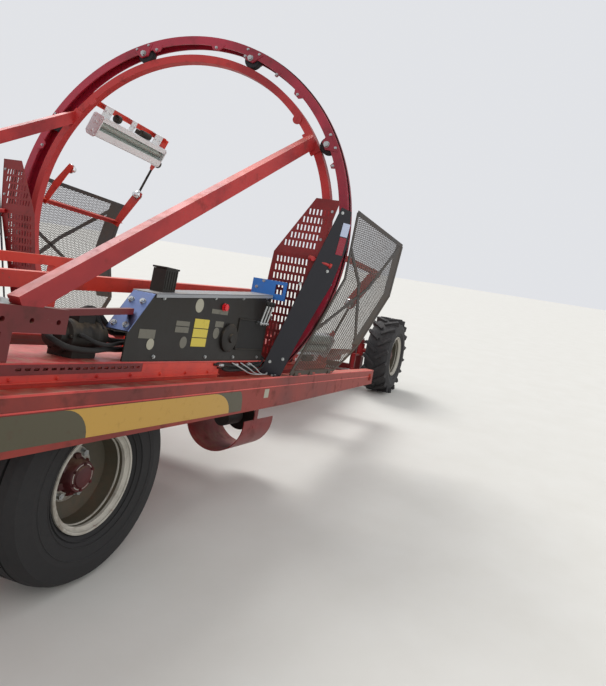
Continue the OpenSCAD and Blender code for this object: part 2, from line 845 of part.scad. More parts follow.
module left_front_tyre() color(rubber) at_front_left() front_tyre();
module left_front_rim() color(pale) at_front_left() rim(front_tyre_w);
module right_front_tyre() color(rubber) mirror([0, 1, 0]) at_front_left() front_tyre();
module right_front_rim() color(pale) mirror([0, 1, 0]) at_front_left() rim(front_tyre_w);
module left_rear_tyre() color(rubber) at_rear_left() rear_tyre();
module left_rear_rim() color(pale) at_rear_left() rim(rear_tyre_w);
module right_rear_tyre() color(rubber) mirror([0, 1, 0]) at_rear_left() rear_tyre();
module right_rear_rim() color(pale) mirror([0, 1, 0]) at_rear_left() rim(rear_tyre_w);

// Wrapping ring: a channel open towards the hoop, with the roller chain round its rim
module ring_section() {
    w = ring_w / 2;
    c = chain_w / 2;
    polygon([[flange_inner_r, -w], [web_outer_r, -w], [web_outer_r, -c], [ring_outer_r, -c],
             [ring_outer_r, c], [web_outer_r, c], [web_outer_r, w], [flange_inner_r, w],
             [flange_inner_r, w - ring_wall], [web_inner_r, w - ring_wall],
             [web_inner_r, ring_wall - w], [flange_inner_r, ring_wall - w]]);
}

// Lugs that reach down from the ring's flanges to the roller pins
module roller_lug() {
    base = web_inner_r - 12;
    polygon([[roller_axis_r - 22, -26], [roller_axis_r + 8, -46], [base, -74], [base, 74],
             [roller_axis_r + 8, 46], [roller_axis_r - 22, 26]]);
}

// Ears on the ring's front flange: [angle, half width]
ring_ears = [[106, 46], [84, 58], [73, 20], [60, 20], [50, 52], [24, 26], [-30, 46], [-74, 26],
             [-107, 26], [-130, 46], [226, 26], [160, 46]];
module ring_ear(half) {
    inner = flange_inner_r - 24;
    difference() {
        polygon([[inner, -half * 0.4], [inner, half * 0.4], [flange_inner_r + 14, half],
                 [flange_inner_r + 14, -half]]);
        translate([inner + 14, 0]) circle(r = 6);
    }
}

module ring() {
    w = ring_w / 2;
    color(red) on_frame()
        difference() {
            union() {
                ring_axis_at_origin() rotate_extrude($fn = 180) ring_section();
                ring_stations()
                    for (x = [-w - 3, w - ring_wall - 3])
                        along_x(x, x + ring_wall + 6) roller_lug();
                translate([0, 0, ring_z])
                    for (ear = ring_ears)
                        rotate([ear[0], 0, 0])
                            along_x(w - 6, w + 2) ring_ear(ear[1]);
            }
            ring_stations()
                rod_x(roller_axis_r, 0, roller_pin_r, -ring_w, ring_w);
        }
}

// Repeats along the ring, one at each roller
module ring_stations() {
    translate([0, 0, ring_z])
        for (i = [0 : roller_n - 1])
            rotate([i * 360 / roller_n + roller_angle, 0, 0])
                children();
}

module ring_rollers() {
    color(black) on_frame() ring_stations() {
        rod_x(roller_axis_r, 0, roller_r, -roller_w / 2, roller_w / 2);
        rod_x(roller_axis_r, 0, roller_pin_r, -ring_w / 2 - 8, ring_w / 2 + 8);
    }
}

// Film carriers, drawn at the ring's left side: y is the radius, z runs round the ring
module at_carriers() {
    on_frame()
        translate([0, 0, ring_z])
            for (a = [carrier_angle, carrier_angle + 180])
                rotate([a, 0, 0])
                    children();
}

arm_r = carrier_r * cos(carrier_spread);
arm_t = carrier_r * sin(carrier_spread);
stretch_x0 = 60 - carrier_reach;
stretch_x1 = -ring_w / 2 - 110;
module carrier_arms() {
    h = carrier_tube / 2;
    color(red) at_carriers()
        for (side = [-1, 1]) {
            box(-carrier_reach, -ring_w / 2, arm_r - h, arm_r + h,
                side * arm_t - h, side * arm_t + h);
            for (x = [stretch_x0 - 10, stretch_x1])
                box(x, x + 10, arm_r - 110, arm_r + h,
                    side > 0 ? 60 : -arm_t - h, side > 0 ? arm_t + h : 230 - arm_t);
        }
}

// Pre-stretch units: two rollers between end plates on the upper arms
module stretchers() {
    color("#c9ced2") at_carriers() {
        for (x = [stretch_x0, stretch_x1 - 8])
            box(x, x + 8, arm_r - 95, arm_r + 10, 60 - arm_t, 225 - arm_t);
        for (p = [[arm_r - 40, 105 - arm_t], [arm_r - 50, 185 - arm_t]])
            rod_x(p[0], p[1], 36, stretch_x0 + 8, stretch_x1 - 8);
    }
}

module roll_cones() {
    color("silver") at_carriers() {
        rod_x(arm_r - 55, 105, 30, stretch_x0, stretch_x0 + 45);
        rod_x(arm_r - 55, 105, 30, stretch_x1 - 45, stretch_x1);
    }
}

// Pusher: a plate on a carriage that slides along the trough
pusher_x = 2300;
module pusher() {
    z0 = table_top + trough_sheet + slide_gap;
    color(red) on_frame() {
        along_x(pusher_x, pusher_x + 10)
            polygon([[-330, z0 + 60], [330, z0 + 60], [430, z0 + 115], [430, z0 + 900],
                     [-430, z0 + 900], [-430, z0 + 115]]);
        for (y = [-330, 0, 330])
            box(pusher_x + 10, pusher_x + 70, y - 30, y + 30, z0 + 60, z0 + 900);
        box(pusher_x, pusher_x + 200, -230, 230, z0, z0 + 60);
    }
}

// Tongue: hinged at the front cross-member, drawn level and then let down
module tongue() {
    color(red) on_frame()
        translate([hinge_x, 0, hinge_z])
            rotate([0, frame_pitch + tongue_fall, 0])
                difference() {
                    union() {
                        both_sides() {
                            intersection() {
                                strut([0, tongue_spread, 0], [tongue_l - 150, 30, 0], 76);
                                box(-1, tongue_l - 160, 0, tongue_spread + 60, -50, 50);
                            }
                            rod_y(0, 0, 44, tongue_spread - 50, tongue_spread + 50);
                        }
                        box(tongue_l - 330, tongue_l - 150, -75, 75, -44, 44);
                        box(tongue_l - 160, tongue_l - 40, -45, 45, -22, 22);
                        translate([tongue_l, 0, 0])
                            rotate([0, -tongue_fall, 0])
                                cylinder(r = hitch_eye_r, h = hitch_eye_h, center = true);
                    }
                    translate([tongue_l, 0, 0])
                        rotate([0, -tongue_fall, 0])
                            cylinder(d = hitch_bore_d, h = 120, center = true);
                    rod_y(0, 0, tongue_pin_r + spindle_fit, -beam_outer_y, beam_outer_y);
                }
}

// Mesh guards: a bent sheet of mesh in a frame of flat bars, hinged along the beam's top.
// The bend is drawn in y and height, and the outline in x and height.
guard_bend = [[1058, 22], [1292, 640], [1300, 1045]];
guard_outline = [[40, 22], [-700, 22], [-830, 118], [-950, 233], [-1010, 640], [-1100, 1045],
                 [40, 1045]];
hinge_x_rows = [-640, -300, -60];
guard_hinge = [1054, 11];
guard_bar = 30;

module bent_sheet(inner, outer) {
    along_x(-1200, 100)
        polygon(concat([for (p = guard_bend) [p[0] + inner, p[1]]],
                       [for (i = [2 : -1 : 0]) [guard_bend[i][0] + outer, guard_bend[i][1]]]));
}

module guard_bars() {
    difference() {
        polygon(guard_outline);
        offset(delta = -guard_bar) polygon(guard_outline);
    }
    polygon([[38, 805], [38, 842], [-822, 280], [-795, 255]]);
    polygon([[20, 300], [20, 335], [-1000, 1030], [-1000, 995]]);
}

module mesh_guard() {
    on_frame()
        difference() {
            union() {
                intersection() {
                    bent_sheet(0, 3);
                    along_y(1000, 1400) offset(delta = -guard_bar / 2) polygon(guard_outline);
                }
                intersection() {
                    bent_sheet(-4, 7);
                    along_y(1000, 1400) guard_bars();
                }
                for (x = hinge_x_rows) {
                    rod_x(guard_hinge[0], guard_hinge[1], 9, x, x + 50);
                    box(x, x + 50, guard_hinge[0] - 2, guard_bend[0][0] + 8, guard_hinge[1],
                        guard_bend[0][1] + 12);
                }
            }
            rod_x(guard_hinge[0], guard_hinge[1], 5 + spindle_fit, -1400, 100);
        }
}

// Fixed hinge leaves of the mesh guards, with their pins
module guard_leaves() {
    for (x = hinge_x_rows) {
        rod_x(guard_hinge[0], guard_hinge[1], 5, x - 50, x + 50);
        rod_x(guard_hinge[0], guard_hinge[1], 9, x - 50, x - 5);
        box(x - 50, x - 5, beam_outer_y - 40, guard_hinge[0], 0, 5);
    }
}

module left_mesh_guard() color(mesh_grey) mesh_guard();
module right_mesh_guard() color(mesh_grey) mirror([0, 1, 0]) mesh_guard();

left_beam();
right_beam();
cross_members();
front_table();
rear_table();
wheel_decks();
slotted_rails();
hoop();
left_brace();
right_brace();
brace_mounts();
guide_tubes();
left_ring_guard();
right_ring_guard();
left_strip();
right_strip();
ring_drive();
drive_guard();
control_box();
control_levers();
control_bracket();
feed_motor();
engine();
oil_tank();
front_axle();
rear_axle();
ring();
ring_rollers();
carrier_arms();
stretchers();
roll_cones();
pusher();
tongue();
left_mesh_guard();
right_mesh_guard();
left_knuckle();
right_knuckle();
tie_rod();
left_front_tyre();
left_front_rim();
right_front_tyre();
right_front_rim();
left_rear_tyre();
left_rear_rim();
right_rear_tyre();
right_rear_rim();
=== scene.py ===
"""The looks of a towed in-line bale wrapper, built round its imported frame.

Shapes are drawn in millimetres in the machine's own axes: x forward along the side beams, y to the
left and z square to the beams' top, with x = 0 in the plane of the wrapping ring.
"""

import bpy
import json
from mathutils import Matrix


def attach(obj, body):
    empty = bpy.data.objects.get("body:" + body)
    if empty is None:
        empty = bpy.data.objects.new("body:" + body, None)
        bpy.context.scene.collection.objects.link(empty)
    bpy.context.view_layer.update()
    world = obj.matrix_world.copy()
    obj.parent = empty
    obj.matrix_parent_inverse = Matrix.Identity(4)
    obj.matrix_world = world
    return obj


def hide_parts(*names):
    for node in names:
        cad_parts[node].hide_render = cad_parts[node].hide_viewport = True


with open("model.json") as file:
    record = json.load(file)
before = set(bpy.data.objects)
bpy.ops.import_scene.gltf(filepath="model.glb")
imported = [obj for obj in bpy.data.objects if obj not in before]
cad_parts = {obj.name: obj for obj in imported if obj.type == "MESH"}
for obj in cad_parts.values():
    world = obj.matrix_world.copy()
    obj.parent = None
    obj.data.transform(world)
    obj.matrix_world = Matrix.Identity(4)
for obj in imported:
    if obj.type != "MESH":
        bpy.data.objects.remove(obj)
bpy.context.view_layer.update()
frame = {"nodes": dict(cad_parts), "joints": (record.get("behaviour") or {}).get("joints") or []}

import json
import math
from itertools import product

import bmesh
import bpy
from mathutils import Matrix, Vector

MM = 0.001
SHARP_ANGLE = math.radians(38)
BEVEL_ANGLE = math.radians(50)
CURVE_STEPS = 6

# Sizes that several pieces share with the CAD
FRAME_PITCH = 7
RING_Z = 830
ROLLER_AXIS_R = 1184.5
FLANGE_R = 1192.5
RIM_R = 1248.5
BEAM_Y = 1040
DECK_TOP = 80


# Places

def joint(name):
    return next(j for j in frame["joints"] if j["name"] == name)


def place(origin, x, y, z):
    """The matrix from millimetres along three directions to metres in the frame."""
    turn = Matrix((x, y, z)).transposed().to_4x4()
    return Matrix.Translation(origin) @ turn @ Matrix.Scale(MM, 4)


def moved(base, x=0, y=0, z=0):
    return base @ Matrix.Translation((x, y, z))


def turned(base, angle, axis):
    return base @ Matrix.Rotation(math.radians(angle), 4, axis)


# Directions in whichever axes a shape is drawn in
X, Y, Z = Vector((1, 0, 0)), Vector((0, 1, 0)), Vector((0, 0, 1))

SPIN = joint("ring_spin")
FORE = Vector(SPIN["axis"]).normalized()
LEFT = Y
UP = FORE.cross(LEFT)
RING = place(Vector(SPIN["pos_m"]), FORE, LEFT, UP)
DECK = moved(RING, z=-RING_Z)
MIRROR = Matrix.Scale(-1, 4, (0, 1, 0))
SIDES = {"left": DECK, "right": DECK @ MIRROR}
BOTH = tuple(SIDES.values())


def wheel_place(name):
    """A wheel's own axes: z out from the machine along its axle."""
    out = LEFT if name.startswith("left") else -LEFT
    return place(Vector(joint(name + "_spin")["pos_m"]), FORE, out.cross(FORE), out)


# Shapes

AXES = {"x": (0, 1, 2), "y": (1, 0, 2), "z": (2, 0, 1)}


def circle(sides, start=0):
    """Cosines and sines of evenly spaced angles. The start counts in steps."""
    turns = [math.tau * (i + start) / sides for i in range(sides)]
    return [(math.cos(t), math.sin(t)) for t in turns]


def curve(points):
    """More points, along a smooth curve through the given ones."""
    ends = [points[0] * 2 - points[1]] + points + [points[-1] * 2 - points[-2]]
    path = []
    for p0, p1, p2, p3 in zip(ends, ends[1:], ends[2:], ends[3:]):
        for k in range(CURVE_STEPS):
            t = k / CURVE_STEPS
            path.append(0.5 * (2 * p1 + (p2 - p0) * t + (2 * p0 - 5 * p1 + 4 * p2 - p3) * t * t
                               + (3 * p1 - p0 - 3 * p2 + p3) * t ** 3))
    return path + [points[-1]]


def inside(outline, x, z):
    """Whether a point lies inside an outline."""
    found = False
    for (x0, z0), (x1, z1) in zip(outline, outline[1:] + outline[:1]):
        if (z0 > z) != (z1 > z) and x < (x1 - x0) * (z - z0) / (z1 - z0) + x0:
            found = not found
    return found


def add_object(name, data):
    obj = bpy.data.objects.new(name, data)
    bpy.context.scene.collection.objects.link(obj)
    return obj


class Shape:
    """Gathers the solids of one piece, each drawn in the axes of every place that it is given."""

    def __init__(self, *places):
        self.places = places or [DECK]
        self.finish = 0
        self.points = []
        self.faces = []
        self.finishes = []

    def loft(self, rings, closed=False):
        """Joins rings of equally many points, in order, and caps the ends unless it is closed."""
        n, last = len(rings[0]), len(rings) - 1
        faces = []
        for i in range(len(rings) if closed else last):
            a, b = i * n, (i + 1) % len(rings) * n
            faces += [(a + j, a + (j + 1) % n, b + (j + 1) % n, b + j) for j in range(n)]
        if not closed:
            faces += [range(n)[::-1], range(last * n, last * n + n)]
        for base in self.places:
            start = len(self.points)
            self.points += [base @ Vector(p) for ring in rings for p in ring]
            self.faces += [[start + i for i in face] for face in faces]
            self.finishes += [self.finish] * len(faces)

    def prism(self, outline, axis, start, end):
        """An outline in the two other axes, drawn out along one."""
        along, first, second = AXES[axis]
        rings = []
        for t in (start, end):
            ring = []
            for a, b in outline:
                point = [0, 0, 0]
                point[along], point[first], point[second] = t, a, b
                ring.append(point)
            rings.append(ring)
        self.loft(rings)

    def box(self, x0, x1, y0, y1, z0, z1):
        self.prism([(y0, z0), (y1, z0), (y1, z1), (y0, z1)], "x", x0, x1)

    def lathe(self, profile, sides, axis="z", centre=(0, 0, 0), closed=False):
        """Turns a profile of (radius, place along the axis) pairs round an axis."""
        along, first, second = AXES[axis]
        rings = []
        for radius, t in profile:
            ring = []
            for c, s in circle(sides):
                point = list(centre)
                point[along] += t
                point[first] += radius * c
                point[second] += radius * s
                ring.append(point)
            rings.append(ring)
        self.loft(rings, closed)

    def tube(self, path, r, sides):
        """A round bar along a path of points."""
        side = (path[1] - path[0]).orthogonal()
        rings = []
        for before, at, after in zip(path[:1] + path, path, path[1:] + path[-1:]):
            forward = (after - before).normalized()
            side = (side - forward * side.dot(forward)).normalized()
            other = forward.cross(side)
            rings.append([at + (side * c + other * s) * r for c, s in circle(sides)])
        self.loft(rings)

    def rod(self, a, b, r, sides):
        self.tube([Vector(a), Vector(b)], r, sides)

    def sweep(self, points, r, sides):
        """A bent bar or hose, smooth through the given points."""
        self.tube(curve([Vector(p) for p in points]), r, sides)

    def bar(self, a, b, width, thick, flat):
        """A flat bar from a to b that lies square to the direction flat."""
        a, b = Vector(a), Vector(b)
        flat = Vector(flat).normalized()
        side = (b - a).cross(flat).normalized() * width / 2
        deep = flat * thick / 2
        self.loft([[p - side - deep, p + side - deep, p + side + deep, p - side + deep]
                   for p in (a, b)])

    def bolts(self, points, out, across, high, washer=1.5):
        """Washers, hexagon heads and thread ends that stand out from a face."""
        for at in points:
            for reach, radius, sides in ((washer, 0.66, 14), (washer + high, 0.56, 6),
                                         (washer + high + 2, 0.26, 8)):
                self.rod(at, Vector(at) + out * reach, across * radius, sides)

    def piece(self, name, body, finishes, bevel=0.0, replaces=()):
        mesh = bpy.data.meshes.new(name)
        mesh.from_pydata(self.points, [], self.faces)
        for finish in finishes:
            mesh.materials.append(FINISHES[finish])
        for polygon, index in zip(mesh.polygons, self.finishes):
            polygon.material_index = index
        work = bmesh.new()
        work.from_mesh(mesh)
        bmesh.ops.recalc_face_normals(work, faces=work.faces)
        work.to_mesh(mesh)
        work.free()
        mesh.shade_smooth()
        mesh.set_sharp_from_angle(angle=SHARP_ANGLE)
        obj = add_object(name, mesh)
        if bevel:
            edge = obj.modifiers.new("edge", "BEVEL")
            edge.width = bevel * MM
            edge.segments = 2
            edge.limit_method = "ANGLE"
            edge.angle_limit = BEVEL_ANGLE
            edge.harden_normals = True
        if replaces:
            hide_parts(*replaces)
        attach(obj, body)


# Finishes

def colour(code):
    """A written colour as the linear numbers that a shader takes."""
    parts = [int(code[i:i + 2], 16) / 255 for i in (1, 3, 5)]
    linear = [p / 12.92 if p <= 0.04045 else ((p + 0.055) / 1.055) ** 2.4 for p in parts]
    return (*linear, 1)


class Value:
    """A shader socket that can stand in a sum."""

    def __init__(self, finish, socket):
        self.finish = finish
        self.socket = socket

    def sum(self, operation, *terms):
        return self.finish.node("Math", {"operation": operation}, dict(enumerate(terms)))

    def __add__(self, other):
        return self.sum("ADD", self, other)

    def __sub__(self, other):
        return self.sum("SUBTRACT", self, other)

    def __rsub__(self, other):
        return self.sum("SUBTRACT", other, self)

    def __mul__(self, other):
        return self.sum("MULTIPLY", self, other)

    def part(self, axis):
        return self.finish.node("SeparateXYZ", inputs={0: self}, out=axis)

    def between(self, low, high):
        """0 below low and 1 above high, with a soft step."""
        settings = {"interpolation_type": "SMOOTHSTEP"}
        return self.finish.node("MapRange", settings, {0: self, 1: low, 2: high})


class Finish:
    """A material whose nodes are written as expressions."""

    def __init__(self):
        self.material = bpy.data.materials.new("finish")
        self.material.use_nodes = True
        self.tree = self.material.node_tree
        self.tree.nodes.clear()
        self.shader = self.tree.nodes.new("ShaderNodeBsdfPrincipled")
        output = self.tree.nodes.new("ShaderNodeOutputMaterial")
        self.tree.links.new(self.shader.outputs[0], output.inputs["Surface"])
        self.point = self.node("TexCoord", out="Object")
        self.upward = self.node("TexCoord", out="Normal").part(2)

    def node(self, kind, settings=None, inputs=None, out=0):
        made = self.tree.nodes.new("ShaderNode" + kind)
        for key, value in (settings or {}).items():
            setattr(made, key, value)
        for key, value in (inputs or {}).items():
            self.feed(made.inputs[key], value)
        return Value(self, made.outputs[out])

    def feed(self, socket, value):
        if isinstance(value, Value):
            self.tree.links.new(value.socket, socket)
        else:
            socket.default_value = value

    def noise(self, scale, detail, stretch=(1, 1, 1)):
        at = self.node("Mapping", inputs={"Vector": self.point, "Scale": stretch})
        inputs = {"Vector": at, "Scale": scale, "Detail": detail, "Roughness": 0.6}
        return self.node("TexNoise", inputs=inputs)

    def mix(self, first, second, share):
        return self.node("Mix", {"data_type": "RGBA"}, {0: share, 6: first, 7: second}, out=2)

    def bump(self, height, strength, depth):
        return self.node("Bump", inputs={"Strength": strength, "Distance": depth, "Height": height})

    def set(self, **sockets):
        for key, value in sockets.items():
            self.feed(self.shader.inputs[key.replace("_", " ")], value)
        return self.material


DUST = colour("#9c8a70")
MUD = colour("#5b4a3a")


def worn_paint(main, shade, faded, gloss=0.32, dust=0.45, wear=1.0):
    """Old enamel: faded patches, grime, chips down to dark primer, and dust on what faces up."""
    f = Finish()
    patches = f.noise(1.7, 5.0)
    grit = f.noise(11.0, 9.0)
    fine = f.noise(75.0, 6.0)
    lines = f.noise(9.0, 6.0, (0.25, 1.0, 1.0))
    base = f.mix(colour(shade), colour(main), patches.between(0.34, 0.58))
    sunned = f.upward.between(0.1, 0.9) * patches.between(0.3, 0.65) * 0.75
    base = f.mix(base, colour(faded), sunned)
    grime = grit.between(0.52, 0.74) * 0.4 * wear
    base = f.mix(base, colour("#40261f"), grime)
    scuffs = fine.between(0.64, 0.7) * lines.between(0.5, 0.6) * wear
    base = f.mix(base, colour("#6d5145"), scuffs * 0.8)
    dusty = f.upward.between(0.2, 1.0) * f.noise(16.0, 8.0).between(0.38, 0.72) * dust
    base = f.mix(base, DUST, dusty)
    rough = grime * 0.4 + dusty * 0.5 + scuffs * 0.3 + patches * 0.12 + (gloss - 0.05)
    height = f.noise(160.0, 3.0) * 0.25 - scuffs * 0.6 + grit * 0.3
    return f.set(Base_Color=base, Roughness=rough, Normal=f.bump(height, 0.25, 0.0015))


def slid_paint(main, faded):
    """Paint rubbed lengthwise by heavy loads, down to bright steel in streaks."""
    f = Finish()
    patches = f.noise(1.5, 4.0)
    streaks = f.noise(16.0, 7.0, (0.04, 1.0, 1.0))
    grit = f.noise(60.0, 5.0, (0.3, 1.0, 1.0))
    base = f.mix(colour(main), colour(faded), patches.between(0.35, 0.65) * 0.7)
    bare = streaks.between(0.5, 0.64) * patches.between(0.3, 0.6) * 0.7
    base = f.mix(base, colour("#918a84"), bare)
    base = f.mix(base, DUST, f.noise(4.0, 6.0).between(0.45, 0.75) * 0.22)
    rough = grit * 0.15 + streaks * 0.1 + 0.33
    return f.set(Base_Color=base, Metallic=bare * 0.7, Roughness=rough,
                 Normal=f.bump(streaks + grit * 0.3, 0.12, 0.001))


def dark_enamel(main, gloss, dust=0.35):
    """Dark or plain paint with a film of dust."""
    f = Finish()
    grit = f.noise(14.0, 8.0)
    dusty = f.upward.between(0.0, 1.0) * f.noise(20.0, 8.0).between(0.35, 0.7) * dust
    film = f.noise(3.0, 6.0).between(0.45, 0.75) * 0.22
    base = f.mix(colour(main), colour("#5d5648"), film * grit)
    base = f.mix(base, DUST, dusty)
    height = f.noise(210.0, 3.0) * 0.3 + grit * 0.2
    rough = film * 0.8 + dusty * 0.6 + grit * 0.15 + gloss
    return f.set(Base_Color=base, Roughness=rough, Normal=f.bump(height, 0.2, 0.001))


def plated(main, rough=0.24, stain=0.4):
    """Zinc plate or bare steel with stains and fine scratches."""
    f = Finish()
    grit = f.noise(25.0, 9.0)
    scratches = f.noise(60.0, 4.0, (0.08, 1.0, 1.0))
    stains = grit.between(0.5, 0.75) * stain
    base = f.mix(colour(main), colour("#6a5c4b"), stains)
    shine = 1.0 - stains * 0.8
    roughness = scratches * 0.22 + stains * 0.5 + rough
    return f.set(Base_Color=base, Metallic=shine, Roughness=roughness,
                 Normal=f.bump(scratches + grit * 0.4, 0.15, 0.0008))


def rubber(main, share, dirt="#7d7468"):
    """Tyre, hose or roller rubber, dusty where it scuffs."""
    f = Finish()
    patches = f.noise(2.2, 4.0).between(0.3, 0.75)
    grit = f.noise(45.0, 8.0)
    film = (f.upward.between(-0.2, 1.0) * 0.5 + 0.25) * patches
    base = f.mix(colour(main), colour(dirt), film * grit.between(0.2, 0.8) * share)
    height = grit * 0.5 + f.noise(180.0, 3.0) * 0.3
    return f.set(Base_Color=base, Roughness=patches * 0.15 + 0.72,
                 Normal=f.bump(height, 0.35, 0.002))


def wheel_enamel(main):
    """Pale wheel paint with mud in its dish and rust that breaks through."""
    f = Finish()
    grit = f.noise(22.0, 9.0)
    mud = f.noise(5.0, 7.0).between(0.42, 0.66) * 0.65
    rust = grit.between(0.62, 0.7) * 0.7
    base = f.mix(colour(main), MUD, mud * grit.between(0.3, 0.6))
    base = f.mix(base, colour("#6b3f28"), rust)
    height = grit * 0.6 + rust * 0.5
    return f.set(Base_Color=base, Roughness=mud * 0.3 + rust * 0.3 + 0.45,
                 Normal=f.bump(height, 0.3, 0.002))


def muddy_steel(main):
    """Expanded steel with dried mud, thickest towards the foot."""
    f = Finish()
    low = 1.0 - f.point.part(2).between(0.55, 1.15)
    grit = f.noise(30.0, 9.0)
    mud = (f.noise(4.0, 8.0).between(0.35, 0.62) * 0.5 + low * 0.7) * grit.between(0.25, 0.6)
    base = f.mix(colour(main), colour("#54463a"), mud)
    return f.set(Base_Color=base, Roughness=mud * 0.3 + 0.6, Normal=f.bump(grit, 0.5, 0.003))


def plain_decal(main, worn="#8d8878", gloss=0.4):
    """Blank vinyl with worn patches."""
    f = Finish()
    grit = f.noise(30.0, 8.0)
    rubbed = grit.between(0.56, 0.72) * 0.45
    base = f.mix(colour(main), colour(worn), rubbed)
    base = f.mix(base, colour(main), f.noise(3.0, 3.0).between(0.3, 0.7) * 0.5)
    return f.set(Base_Color=base, Roughness=rubbed * 0.4 + gloss, Normal=f.bump(grit, 0.08, 0.001))


def reflector(main):
    """A reflector's glossy face with its small cells."""
    f = Finish()
    cells = f.noise(240.0, 2.0)
    base = f.mix(colour(main), colour("#ffffff"), cells.between(0.55, 0.8) * 0.2)
    return f.set(Base_Color=base, Roughness=cells * 0.1 + 0.12, Normal=f.bump(cells, 0.4, 0.001))


FINISHES = {
    "red": worn_paint("#ad2023", "#8c1219", "#d8452f"),
    "hoop_red": worn_paint("#b22c2a", "#90181d", "#df5a48", gloss=0.5, dust=0.2),
    # Brighter orange-red copy of the red paint: painted sunlight on the guide tubes, carrier bars
    # and wheel skirts
    "sunlit_tube_red": worn_paint("#cd3a28", "#ad2620", "#ee6b4c", gloss=0.42, dust=0.15),
    # Red with a pink cast: the pink is a painted reflection of the sky on the ring
    "sky_tinted_ring_red": worn_paint("#a3243a", "#82172a", "#c63c44", gloss=0.38, dust=0.25),
    # A darker copy of the red paint: painted shade, as on the drive guard under the beam
    "dark_red": worn_paint("#7d1a1a", "#5d0f11", "#a5302a", gloss=0.5, wear=1.3),
    "hub_red": worn_paint("#55161a", "#3d0d10", "#7a2a24", gloss=0.5, wear=1.3),
    # Pale red: faded paint on the wheel decks, and a painted highlight on the beams' lips
    "faded_and_highlight_red": worn_paint("#cf4a42", "#b02a2a", "#e9857a", gloss=0.4, dust=0.6),
    "table_red": slid_paint("#a3221f", "#bf4438"),
    "table_pink": slid_paint("#bf3c36", "#d8756a"),
    # Dull brick red, darker than the other reds: painted shade on the side beams
    "shaded_beam_red": worn_paint("#86281c", "#681c16", "#d2503a", gloss=0.52, wear=1.3),
    "black": dark_enamel("#130f0a", gloss=0.5),
    # Pale grey over black paint: partly dust, partly a painted highlight of the sun on the glossy
    # lid
    "lid": dark_enamel("#8d9094", gloss=0.3, dust=0.5),
    "navy": dark_enamel("#0d0e1a", gloss=0.42),
    # Blue-grey steel: the blue is a painted reflection of the sky on the box's slanted corner
    "sky_reflection_steel": plated("#6f7ea6", rough=0.25, stain=0.2),
    # Bright blue: a painted reflection of the sky on the control bracket's glossy plate
    "sky_reflection_blue": plated("#4b8ad8", rough=0.35, stain=0.15),
    "zinc": plated("#b9bcbc"),
    "chrome": plated("#dcdedf", rough=0.08, stain=0.12),
    "cast_alloy": plated("#e6e7e8", rough=0.5, stain=0.05),
    # Darker green-grey copy of the alloy: painted shade on the stretch rollers between the bright
    # channels
    "shaded_roller_alloy": plated("#b9c2bb", rough=0.6, stain=0.2),
    "chain": plated("#3b3734", rough=0.35, stain=0.7),
    "tyre": rubber("#1c1b1c", 0.6, "#4b453e"),
    "rear_tyre": rubber("#232224", 0.7, "#77726d"),
    "hose": rubber("#141414", 0.25),
    "roller": rubber("#191a1f", 0.3),
    "rim": wheel_enamel("#b5b1a6"),
    # Dark barrel colour: partly mud, partly painted shade in the deep dish
    "mud": wheel_enamel("#4a4538"),
    "mesh": muddy_steel("#3b3834"),
    "guard_bar": muddy_steel("#33302e"),
    # Ochre and olive darker than the vinyl itself: painted shade on the beam's decals
    "shaded_yellow": plain_decal("#b58d3a", "#94743a"),
    "shaded_olive": plain_decal("#48432f", "#543c30"),
    "label": plain_decal("#c8b43a", "#9a8c33"),
    "pale": plain_decal("#9d9a88"),
    "grey_label": plain_decal("#625f53", "#45443b"),
    "white_lens": reflector("#b9c4dc"),
    "red_lens": reflector("#8e1f33"),
    "signal_red": plain_decal("#d3232a", "#a01a1f", gloss=0.2),
}
for finish, material in FINISHES.items():
    material.name = finish

# The CAD's nodes by finish, with a star for left or right
NODE_FINISHES = {
    "red": "oil_tank pusher tongue *_knuckle",
    "table_red": "rear_table",
    "table_pink": "front_table",
    "hoop_red": "hoop *_brace",
    "sunlit_tube_red": "guide_tubes",
    "sky_tinted_ring_red": "ring",
    "dark_red": "cross_members slotted_rails brace_mounts drive_guard *_ring_guard front_axle "
                "rear_axle",
    "faded_and_highlight_red": "wheel_decks",
    "shaded_beam_red": "*_beam",
    "black": "control_box ring_drive feed_motor engine",
    "navy": "*_strip",
    "sky_reflection_blue": "control_bracket",
    "zinc": "control_levers tie_rod",
    "guard_bar": "*_mesh_guard",
    "tyre": "*_front_tyre",
    "rear_tyre": "*_rear_tyre",
    "rim": "*_front_rim *_rear_rim",
}


def finish_nodes():
    for finish, names in NODE_FINISHES.items():
        for name in names.split():
            for side in SIDES:
                mesh = frame["nodes"][name.replace("*", side)].data
                mesh.materials.clear()
                mesh.materials.append(FINISHES[finish])


# Wrapping ring

ROLLER_ANGLES = [31 + 40 * i for i in range(9)]
EAR_ANGLES = (106, 84, 73, 60, 50, 24, -30, -74, -107, -130, 226, 160)
CHAIN_LINKS = 308
CHAIN_R = 1251


def round_ring(angle):
    return turned(RING, angle, "X")


def ring_chain():
    """Link plates and rollers round the rim."""
    links = [round_ring(360 * i / CHAIN_LINKS) for i in range(CHAIN_LINKS)]
    half = math.pi * CHAIN_R / CHAIN_LINKS
    shape = Shape(*links)
    shape.rod((-10, CHAIN_R, half), (10, CHAIN_R, half), 4.6, 8)
    for places, spread in ((links[::2], 11.5), (links[1::2], 9)):
        shape.places = places
        for x in (-spread, spread):
            shape.box(x - 1, x + 1, RIM_R - 3, CHAIN_R + 4.5, -half * 0.86, half * 0.86)
    shape.piece("ring_chain", "ring", ["chain"])


